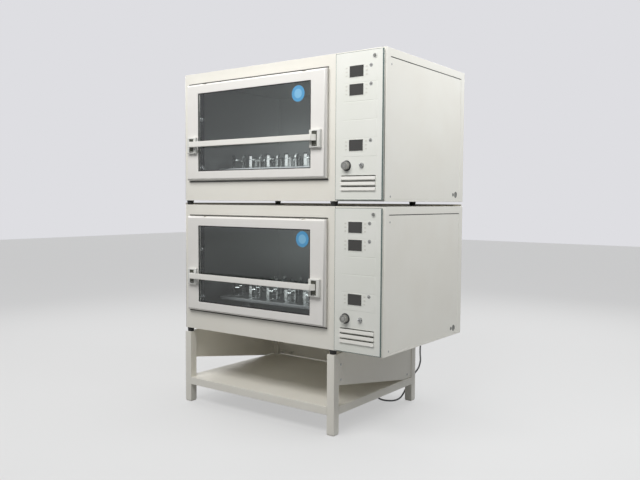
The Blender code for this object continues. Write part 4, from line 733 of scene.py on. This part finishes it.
def dial_knob(prefix, spot):
    """Knob with a dark skirt, a fluted aluminium grip, a grey cap round a bright centre, and a pointer."""
    centre = spot(*DIAL)
    shape = bmesh.new()
    skirt = in_mm([(0, 0), (20.8, 0), (20.8, 1.6), (19.6, 2.8), (17.2, 3.2), (0, 3.2)])
    turn(shape, skirt, centre, (0, -1, 0), 48)
    make_piece(prefix + "dial_skirt", shape, DARK_PLASTIC, prefix + "dial", "dark_plastic")
    shape = bmesh.new()
    grip = in_mm([
        (0, 3.1), (17.4, 3.1), (17.0, 5.0), (16.4, 16.6), (15.2, 18.4), (12.6, 18.9), (12.2, 18.0), (0, 18.0)
    ])
    turn(shape, grip, centre, (0, -1, 0), DIAL_FLUTES)
    for vert in shape.verts:
        out = vert.co - centre
        reach = Vector((out.x, 0, out.z))
        fluted = 4.6 * MM < -out.y < 17 * MM and reach.length > 15 * MM
        if fluted and round(reach.angle(Vector((1, 0, 0)), 0) / (2 * pi / DIAL_FLUTES)) % 2:
            vert.co -= reach.normalized() * 0.7 * MM
    piece = make_piece(prefix + "dial_knob", shape, DIAL_METAL, prefix + "dial", "dial_metal")
    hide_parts(prefix + "speed_dial")
    cap = [(0, 17.9), (11.9, 17.9), (11.9, 18.3), (11.2, 18.5), (0, 18.6)]
    middle = [(0, 18.5), (7, 18.5), (6.4, 19), (0, 19.1)]
    for name, profile, steps, material, slot in (
        ("dial_cap", cap, 40, GREY_PVC, "dark_plastic"),
        ("dial_centre", middle, 32, DIAL_METAL, "dial_metal"),
    ):
        shape = bmesh.new()
        turn(shape, in_mm(profile), centre, (0, -1, 0), steps)
        make_piece(prefix + name, shape, material, prefix + "dial", slot)
    shape = bmesh.new()
    low = centre + Vector((-0.8, -19.2, 11.4)) * MM
    block(shape, low, centre + Vector((0.8, -18.4, 14.6)) * MM, 0.15 * MM)
    make_piece(prefix + "dial_pointer", shape, DARK_PLASTIC, prefix + "dial", "dark_plastic")


def toggle_switch(prefix, spot):
    """The switch's bat lever, its hexagon nut and washer."""
    pivot = spot(*TOGGLE)
    way = Vector((0, -cos(TOGGLE_TILT), sin(TOGGLE_TILT)))
    shape = bmesh.new()
    lever = in_mm([
        (0, -4.0), (3.0, -3.2), (4.0, 0), (3.0, 3.2), (1.7, 4.2), (1.6, 6), (2.1, 12), (2.4, 14.2),
        (2.0, 15.6), (1.0, 16.4), (0, 16.6),
    ])
    turn(shape, lever, pivot, way, 20)
    piece = make_piece(prefix + "toggle_bat", shape, CHROME, prefix + "toggle", "chrome")
    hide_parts(prefix + "toggle_lever")
    seat = spot(TOGGLE[0], PANEL_FACE, TOGGLE[2])
    shape = bmesh.new()
    turn(shape, washer(8.4 * MM, 10.6 * MM, 0.9 * MM), seat, (0, -1, 0), 28)
    turn(shape, washer(5.1 * MM, 9.2 * MM, 6.5 * MM, 0.8 * MM), seat, (0, -1, 0), 6)
    make_piece(prefix + "toggle_nut", shape, ZINC, "frame", "chrome")


def button_ring(prefix, spot):
    """The raised ring round the light button."""
    shape = bmesh.new()
    seat = spot(BUTTON[0], PANEL_FACE, BUTTON[1])
    turn(shape, washer(6.9 * MM, 10.4 * MM, 1.6 * MM, 0.6 * MM), seat, (0, -1, 0), 32)
    make_piece(prefix + "button_ring", shape, LATCH_GREY, "frame", "latch_metal")


def louvre_lips(prefix, spot):
    """The louvres' hoods, leaning out towards their lower edges so that they catch the light from above;
    their enamel, paler than the panel's, also paints part of that light.
    """
    shape = bmesh.new()
    lean = 1.6 * MM
    for top in LOUVRES["tops"]:
        low = spot(LOUVRES["left"] - 0.2 * MM, PANEL_FACE - 3.7 * MM, top - LOUVRES["slit"] - 13.2 * MM)
        high = spot(LOUVRES["right"] + 0.2 * MM, PANEL_FACE - 0.1 * MM, top - LOUVRES["slit"])
        place = Matrix.Translation((low + high) / 2) @ Matrix.Diagonal((*(high - low), 1))
        made = bmesh.ops.create_cube(shape, size=1, matrix=place)["verts"]
        edge = [v for v in made if v.co.z < low.z + 1 * MM and v.co.y < low.y + 1 * MM]
        bmesh.ops.translate(shape, verts=edge, vec=(0, -lean, 0))
        round_edges(shape, {e for v in made for e in v.link_edges}, 0.8 * MM)
    # The hoods take the bar's enamel, a little paler than the panel, which paints part of the light they
    # catch
    make_piece(prefix + "louvre_hoods", shape, BAR_WHITE, "frame", "panel_white")


def latch_inserts(prefix, spot):
    """Acetal cheeks in the latch blocks' slots, and the tongues of the bar's arms between them."""
    face = DOOR["face"]
    cheeks, tongues = bmesh.new(), bmesh.new()
    for left, right in LATCH_SLOTS:
        for inner in (left + 0.2 * MM, right - 4.2 * MM):
            low = spot(inner, face - 13.4 * MM, SLOT_BOTTOM)
            block(cheeks, low, spot(inner + 4 * MM, face - 2.4 * MM, SLOT_TOP), 0.5 * MM)
        low = spot(left + 4.7 * MM, face - 13.2 * MM, SLOT_BOTTOM + 4.7 * MM)
        block(tongues, low, spot(right - 4.7 * MM, face - 4.2 * MM, SLOT_TOP - 2.2 * MM), 1 * MM)
    make_piece(prefix + "latch_cheeks", cheeks, POCKET_GREY, prefix + "door", "dark_plastic")
    make_piece(prefix + "handle_tongues", tongues, POCKET_GREY, prefix + "handle", "dark_plastic")


def latch_slot_shade(prefix, spot):
    """Dark liners on the floor and the sides of each latch block's slot, behind the handle's arm: painted
    shade in the slots.
    """
    shape = bmesh.new()
    for left, right in LATCH_SLOTS:
        for (x0, y0), (x1, y1) in (
            ((left, -24.6), (right, -24.2)),
            ((left, -35.4), (left + 0.5 * MM, -24.6)),
            ((right - 0.5 * MM, -35.4), (right, -24.6)),
        ):
            low = spot(x0, y0 * MM, SLOT_BOTTOM + 0.2 * MM)
            block(shape, low, spot(x1, y1 * MM, SLOT_TOP - 0.2 * MM), 0.1 * MM)
    # Thin dark sheets on the slots' floors and sides: painted shade in the latch slots
    make_piece(prefix + "latch_slot_shade", shape, POCKET_GREY, prefix + "door", "dark_plastic")


# Door, window and chamber


def window_fittings(prefix, spot):
    """Plain discs on the pane, black strips above and below the door that paint the shadow lines there, the
    glazing bead, and the mouth's collar and studs.
    """
    across, up = STICKERS[prefix]
    disc = [(0, 0), (1, 0), (1, 0.15 * MM), (0.998, 0.25 * MM), (0, 0.25 * MM)]
    for name, radius, lift, material in (
        ("sticker", STICKER_RADIUS, 0.05 * MM, STICKER_BLUE),
        ("sticker_middle", STICKER_RADIUS * 0.58, 0.32 * MM, STICKER_PALE),
    ):
        shape = bmesh.new()
        profile = [(r * radius, along) for r, along in disc]
        turn(shape, profile, spot(across, GLASS_FACE - lift, up), (0, -1, 0), 48)
        make_piece(f"{prefix}{name}", shape, material, prefix + "door", "panel_white")

    # Black strips along the door's top and bottom edges: painted shadow lines in the gaps above and below the
    # door
    shape = bmesh.new()
    for low, high in (
        (DOOR["top"] + 3 * MM, DOOR["top"] + 6.4 * MM),
        (DOOR["bottom"] - 7 * MM, DOOR["bottom"] - 3.4 * MM),
    ):
        corners = spot(DOOR["left"], -3.6 * MM, low), spot(DOOR["right"], -0.1 * MM, high)
        block(shape, *corners, 0.4 * MM)
    make_piece(prefix + "door_shadow_strips", shape, RUBBER, "frame", "black_rubber")

    # Black rubber bead round the pane; its black also paints the shaded band along the window's top and left
    # edges
    shape = bmesh.new()
    gap, bead_face = 0.1 * MM, GLASS_FACE - 1.2 * MM
    low = spot(WINDOW["left"] + gap, bead_face, WINDOW["bottom"] + gap)
    high = spot(WINDOW["right"] - gap, bead_face, WINDOW["top"] - gap)
    border(shape, low, high, 4 * MM, 1.15 * MM)
    make_piece(prefix + "glazing_bead", shape, RUBBER, prefix + "door", "black_rubber")

    # Near-black collar lining the mouth; its colour also paints the shade inside the mouth's jambs
    shape = bmesh.new()
    wall = 1.6 * MM
    low = spot(MOUTH["left"] - wall, 4.5 * MM, MOUTH["bottom"] - wall)
    high = spot(MOUTH["right"] + wall, 4.5 * MM, MOUTH["top"] + wall)
    border(shape, low, high, wall, COLLAR_DEPTH)
    make_piece(prefix + "mouth_collar", shape, DARK_PLASTIC, "frame", "dark_plastic")

    shape = bmesh.new()
    stud = in_mm([(0, 0), (12, 0), (12, 1.6), (11, 2.6), (8.6, 3), (8, 6), (6, 8.4), (0, 9)])
    for up in STUD_HEIGHTS:
        place = spot(MOUTH["left"] + 0.1 * MM, STUD_DEPTH, up)
        turn(shape, stud, place, (1, 0, 0), 24)
    make_piece(prefix + "collar_studs", shape, CHROME, "frame", "chrome")


def fan_guard(prefix, spot):
    """Wire guard over the circulation fan: rings on crossed spokes, clipped to the ring's front."""
    centre = spot(FAN["across"], FAN["front"] - 1.6 * MM, FAN["height"])
    shape = bmesh.new()
    for share in (0.25, 0.5, 0.75, 1.0):
        turn(shape, bead(FAN["radius"] * share, 1.1 * MM, 0), centre, (0, -1, 0), 40)
    for number in range(4):
        angle = pi * number / 4
        way = Vector((cos(angle), 0, sin(angle)))
        reach = FAN["radius"] + 1 * MM
        rod = [(0, -reach), (1.0 * MM, -reach), (1.0 * MM, reach), (0, reach)]
        turn(shape, rod, centre, way, 8)
    make_piece(prefix + "fan_guard", shape, CHROME, "frame", "chrome")


def clamp(shape, foot):
    """A flask clamp: pressed base, four sprung fingers, the garter spring round them and its screw."""
    base = [(0, 0), (31, 0), (32.5, 0.6), (32.5, 1.6), (31.5, 2.2), (28, 2.4), (26, 1.8), (0, 1.8)]
    turn(shape, in_mm(base), foot, (0, 0, 1), 28)
    path = in_mm([(20, 2.2), (29, 2.2), (32, 3.6), (33.6, 12), (33.6, 34), (32.6, 50), (33.6, 57), (37, 63)])
    half, thick = 8 * MM, 1.2 * MM
    start = foot + Vector((path[0][0], 0, path[0][1]))
    ends = [shape.verts.new(start + Vector((0, side * half, 0))) for side in (-1, 1)]
    edge = shape.edges.new(ends)
    faces = []
    for (r0, z0), (r1, z1) in zip(path, path[1:]):
        grown = bmesh.ops.extrude_edge_only(shape, edges=[edge])["geom"]
        moved = [item for item in grown if isinstance(item, bmesh.types.BMVert)]
        bmesh.ops.translate(shape, verts=moved, vec=(r1 - r0, 0, z1 - z0))
        faces += [item for item in grown if isinstance(item, bmesh.types.BMFace)]
        edge = next(e for e in moved[0].link_edges if e.other_vert(moved[0]) is moved[1])
    grown = bmesh.ops.solidify(shape, geom=faces, thickness=thick)["geom"]
    finger = {*faces, *[item for item in grown if isinstance(item, bmesh.types.BMFace)]}
    finger = [*finger, *{e for f in finger for e in f.edges}, *{v for f in finger for v in f.verts}]
    bmesh.ops.spin(
        shape, geom=finger, cent=foot, axis=(0, 0, 1), angle=1.5 * pi, steps=3, use_duplicate=True
    )
    turn(shape, bead(35.4 * MM, 1.6 * MM, 40 * MM, 6), foot, (0, 0, 1), 24)
    screw(shape, foot + Vector((0, 0, 1.8 * MM)), (0, 0, 1), 5 * MM)


def flask_platform(prefix, spot):
    """The shaking tray, folded from sheet, with its rows of flask clamps."""
    body = prefix + "platform"
    shape = bmesh.new()
    low = spot(PLATFORM["left"], PLATFORM["front"], PLATFORM["top"] - PLATFORM["rim"])
    high = spot(PLATFORM["right"], PLATFORM["rear"], PLATFORM["top"])
    place = Matrix.Translation((low + high) / 2) @ Matrix.Diagonal((*(high - low), 1))
    bmesh.ops.create_cube(shape, size=1, matrix=place)
    bmesh.ops.delete(shape, geom=[f for f in shape.faces if f.normal.z < -0.5], context="FACES_ONLY")
    corners = [e for e in shape.edges if abs(e.verts[0].co.z - e.verts[1].co.z) > 5 * MM]
    round_edges(shape, corners, 4 * MM, 3)
    top = [e for e in shape.edges if all(v.co.z > high.z - 0.1 * MM for v in e.verts) and e.is_manifold]
    round_edges(shape, top, 2 * MM, 3)
    bmesh.ops.recalc_face_normals(shape, faces=shape.faces)
    bmesh.ops.solidify(shape, geom=shape.faces[:], thickness=2 * MM)
    tray = make_piece(prefix + "platform_tray", shape, PLATFORM_METAL, body, "platform_aluminium")
    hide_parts(prefix + "platform")

    shape = bmesh.new()
    pitch_x = (PLATFORM["right"] - PLATFORM["left"]) / CLAMP_COLUMNS
    pitch_y = (PLATFORM["rear"] - PLATFORM["front"]) / CLAMP_ROWS
    for column in range(CLAMP_COLUMNS):
        for row in range(CLAMP_ROWS):
            x = PLATFORM["left"] + (column + 0.5) * pitch_x
            y = PLATFORM["front"] + (row + 0.5) * pitch_y
            clamp(shape, spot(x, y, PLATFORM["top"]))
    make_piece(prefix + "flask_clamps", shape, CLAMP_STEEL, body, "platform_aluminium")
    shape = bmesh.new()
    for x, y in CRANKS:
        place = spot(x + CRANK_THROW, y, PLATFORM["top"] - 2 * MM)
        turn(shape, washer(10 * MM, 18 * MM, 31 * MM), place, (0, 0, -1), 24)
    make_piece(prefix + "platform_bushes", shape, STAINLESS, body, "platform_aluminium")


# Covers and stand


def cover_fittings(prefix, spot):
    """Screws of the covers, the dark strip in the gap over the side cover, which paints the shade in that
    seam, port grommets and the inlet's flange.
    """
    screws, grommets, flange, pins = (bmesh.new() for _ in range(4))
    for up in SIDE_SCREW_HEIGHTS:
        screw(screws, spot(UNIT_WIDTH - 2.8 * MM, SIDE_SCREW_DEPTH, up), (1, 0, 0), 5 * MM)
    left, right = COVER_SCREW_INSET, UNIT_WIDTH - COVER_SCREW_INSET
    ends = (COVER_SCREW_INSET, UNIT_HEIGHT - COVER_SCREW_INSET)
    places = [(across, up) for across in (left, *REAR_SCREWS_BETWEEN, right) for up in ends]
    for across, up in (*places, (left, UNIT_HEIGHT / 2), (right, UNIT_HEIGHT / 2)):
        screw(screws, spot(across, UNIT_DEPTH + 0.1 * MM, up), (0, 1, 0))
    make_piece(prefix + "cover_screws", screws, ZINC, "frame", "chrome")

    for depth, radius in PORTS:
        place = spot(UNIT_WIDTH - 3.1 * MM, depth, PORT_HEIGHT)
        turn(grommets, washer(radius - 2 * MM, radius + 2.4 * MM, 3 * MM, 0.9 * MM), place, (1, 0, 0), 28)
        plate = [(0, 0.2 * MM), (radius - 1.5 * MM, 0.2 * MM), (radius - 1.5 * MM, 1.2 * MM), (0, 1.2 * MM)]
        turn(grommets, plate, place, (1, 0, 0), 28)
    make_piece(prefix + "port_grommets", grommets, GREY_PVC, "frame", "dark_plastic")

    # A black strip in the gap above the side cover: painted shade in that seam
    shape = bmesh.new()
    low = spot(UNIT_WIDTH - 2.2 * MM, SIDE_COVER["front"], SIDE_COVER["top"] + 0.2 * MM)
    top = SIDE_COVER["top"] + SIDE_COVER["gap"] - 0.2 * MM
    block(shape, low, spot(UNIT_WIDTH - 0.4 * MM, SIDE_COVER["rear"], top), 0.2 * MM)
    make_piece(prefix + "side_cover_shade_strip", shape, RUBBER, "frame", "black_rubber")

    rim = 5 * MM
    half = Vector((INLET["width"] / 2 + rim, 0, INLET["tall"] / 2 + rim))
    middle = spot(INLET["across"], UNIT_DEPTH + 0.1 * MM, INLET["height"])
    border(flange, middle - half, middle + half, rim, 1.4 * MM)
    for side in (-1, 1):
        ear = middle + Vector((side * (half.x + 5 * MM), 0, 0))
        turn(flange, washer(2 * MM, 6.5 * MM, 1.4 * MM), ear, (0, 1, 0), 24)
        screw(flange, ear + Vector((0, 1 * MM, 0)), (0, 1, 0), 3 * MM)
    make_piece(prefix + "inlet_flange", flange, DARK_PLASTIC, "frame", "dark_plastic")
    if prefix == "upper_":
        for offset, up in ((-7 * MM, -2 * MM), (7 * MM, -2 * MM), (0, 3 * MM)):
            place = spot(INLET["across"] + offset, UNIT_DEPTH - INLET["depth"], INLET["height"] + up)
            block(pins, place - Vector((1, 0, 2)) * MM, place + Vector((1, 16, 2)) * MM, 0.4 * MM)
        make_piece(prefix + "inlet_pins", pins, CHROME, "frame", "chrome")
    else:
        pins.free()


def locating_lips():
    """Low folded lips on the lower unit's top, which keep the upper unit's feet in place."""
    corner = cabinet_corner("lower_") + Vector((0, 0, UNIT_HEIGHT))
    shape = bmesh.new()
    wall, rise = 1.4 * MM, 9 * MM
    for low, high in (
        ((2 * MM, UNIT_DEPTH - 2 * MM - wall), (UNIT_WIDTH - 4 * MM, UNIT_DEPTH - 2 * MM)),
        ((0.5 * MM, 4 * MM), (0.5 * MM + wall, UNIT_DEPTH - 4 * MM)),
    ):
        block(shape, corner + Vector((*low, 0.1 * MM)), corner + Vector((*high, rise)), 0.3 * MM)
    make_piece("locating_lips", shape, CREAM, "frame", "cream_paint")


def stand_fittings():
    """Screws through the side plates, and the wing nuts on the back plate."""
    screws, nuts = bmesh.new(), bmesh.new()
    for across, way in ((LEG_INSET, -1), (CHAMBER_WIDTH - LEG_INSET, 1)):
        for depth, up in STAND_SCREWS:
            screw(screws, FLOOR_CORNER + Vector((across, depth, up)), (way, 0, 0), 5 * MM)
    make_piece("stand_screws", screws, ZINC, "frame", "chrome")
    face = STAND_DEPTH - LEG_WIDTH / 2 - 1.5 * MM
    hub = in_mm([(0, 0), (8, 0), (6.5, 11), (3, 12), (0, 12)])
    near, far = WING_NUT_INSETS
    for across in (near, far, CHAMBER_WIDTH - far, CHAMBER_WIDTH - near):
        seat = FLOOR_CORNER + Vector((across, face, WING_NUT_HEIGHT))
        turn(nuts, hub, seat, (0, -1, 0), 20)
        for low, high, up in ((-17, -4, -5), (4, 17, 5)):
            corners = seat + Vector((low, -15, up - 3)) * MM, seat + Vector((high, -4, up + 3)) * MM
            block(nuts, *corners, 1.4 * MM)
    make_piece("stand_wing_nuts", nuts, NYLON, "frame", "panel_white")


UNIT_FITTINGS = (
    controller_fronts, panel_edges, dial_knob, toggle_switch, button_ring, louvre_lips, latch_inserts,
    latch_slot_shade, window_fittings, fan_guard, flask_platform, cover_fittings,
)
for prefix in ("lower_", "upper_"):
    corner = cabinet_corner(prefix)

    def spot(x, y, z):
        """A point measured from the unit's lower front left corner."""
        return corner + Vector((x, y, z))

    for fit in UNIT_FITTINGS:
        fit(prefix, spot)

locating_lips()
stand_fittings()


# Stage

# Watts of soft light let in through each window, of which the upper one is the brighter
WINDOW_LIGHT = {"lower_": 0.22, "upper_": 0.6}
# How much of its pale colour the floor shows of itself, so that it stays pale far from the lamps
FLOOR_LIFT = 0.52


def seen_by_eye(tree):
    """One for what the camera sees, straight or by a reflection or through glass, and nought for lighting."""
    path = add(tree, "ShaderNodeLightPath").outputs
    seen = add(tree, "ShaderNodeMath", {0: path["Is Camera Ray"], 1: path["Is Glossy Ray"]}, operation="ADD")
    inputs = {0: seen.outputs[0], 1: path["Is Transmission Ray"]}
    return add(tree, "ShaderNodeMath", inputs, operation="ADD", use_clamp=True).outputs[0]


def lamp(name, place, aim, size, power, colour=(1, 1, 1)):
    """A rectangular soft light of so many watts, aimed at a point."""
    data = bpy.data.lights.new(name, "AREA")
    data.shape = "RECTANGLE"
    data.size, data.size_y = size
    data.energy = power
    data.color = colour
    light = bpy.data.objects.new(name, data)
    bpy.context.collection.objects.link(light)
    light.location = place
    light.rotation_euler = (Vector(aim) - Vector(place)).to_track_quat("-Z", "Y").to_euler()


def make_stage():
    """A plain pale floor and background, with soft light from the front, both sides and behind."""
    material, tree = new_material("pale_floor")
    painted = add(tree, "ShaderNodeBsdfPrincipled", {"Base Color": linear("#868685"), "Roughness": 0.8})
    pale = add(tree, "ShaderNodeEmission", {"Color": linear("#F2F2F2"), "Strength": FLOOR_LIFT})
    nothing = add(tree, "ShaderNodeEmission", {"Strength": 0.0})
    lift = add(tree, "ShaderNodeMixShader", {0: seen_by_eye(tree), 1: nothing.outputs[0], 2: pale.outputs[0]})
    surface = add(tree, "ShaderNodeAddShader", {0: painted.outputs[0], 1: lift.outputs[0]}).outputs[0]
    add(tree, "ShaderNodeOutputMaterial", {"Surface": surface})
    shape = bmesh.new()
    bmesh.ops.create_grid(shape, x_segments=1, y_segments=1, size=14)
    mesh = bpy.data.meshes.new("floor")
    shape.to_mesh(mesh)
    shape.free()
    mesh.materials.append(material)
    floor = bpy.data.objects.new("floor", mesh)
    bpy.context.collection.objects.link(floor)

    world = bpy.data.worlds.new("studio")
    bpy.context.scene.world = world
    world.use_nodes = True
    tree = world.node_tree
    tree.nodes.clear()
    lighting = add(tree, "ShaderNodeBackground", {"Color": linear("#F2F4F8"), "Strength": 0.27})
    backdrop = add(tree, "ShaderNodeBackground", {"Color": linear("#DEDEE2"), "Strength": 1.0})
    inputs = {0: seen_by_eye(tree), 1: lighting.outputs[0], 2: backdrop.outputs[0]}
    mixed = add(tree, "ShaderNodeMixShader", inputs)
    add(tree, "ShaderNodeOutputWorld", {"Surface": mixed.outputs[0]})

    lamp("key_softbox", (0.15, -1.9, 2.85), (0.1, -0.1, 1.25), (2.6, 1.2), 63)
    lamp("side_softbox", (2.1, 0.15, 2.8), (0.5, 0.15, 1.15), (1.2, 1.2), 42, (0.94, 0.97, 1))
    lamp("rear_softbox", (0.2, 3.4, 2.4), (0, 0.4, 0.9), (2.2, 1.6), 45)
    lamp("left_softbox", (-3.2, 0.4, 2.2), (-0.5, 0.2, 0.9), (1.8, 1.6), 30)

    # The light that comes in through each window, given to the chamber from just inside its mouth
    size = (WINDOW["right"] - WINDOW["left"], WINDOW["top"] - WINDOW["bottom"])
    across, up = (WINDOW["left"] + WINDOW["right"]) / 2, (WINDOW["bottom"] + WINDOW["top"]) / 2
    for prefix, power in WINDOW_LIGHT.items():
        middle = cabinet_corner(prefix) + Vector((across, 4 * MM, up))
        lamp(prefix + "window_light", middle, middle + Vector((0, 1, 0.1)), size, power)


make_stage()
bpy.context.scene.view_settings.view_transform = "Standard"
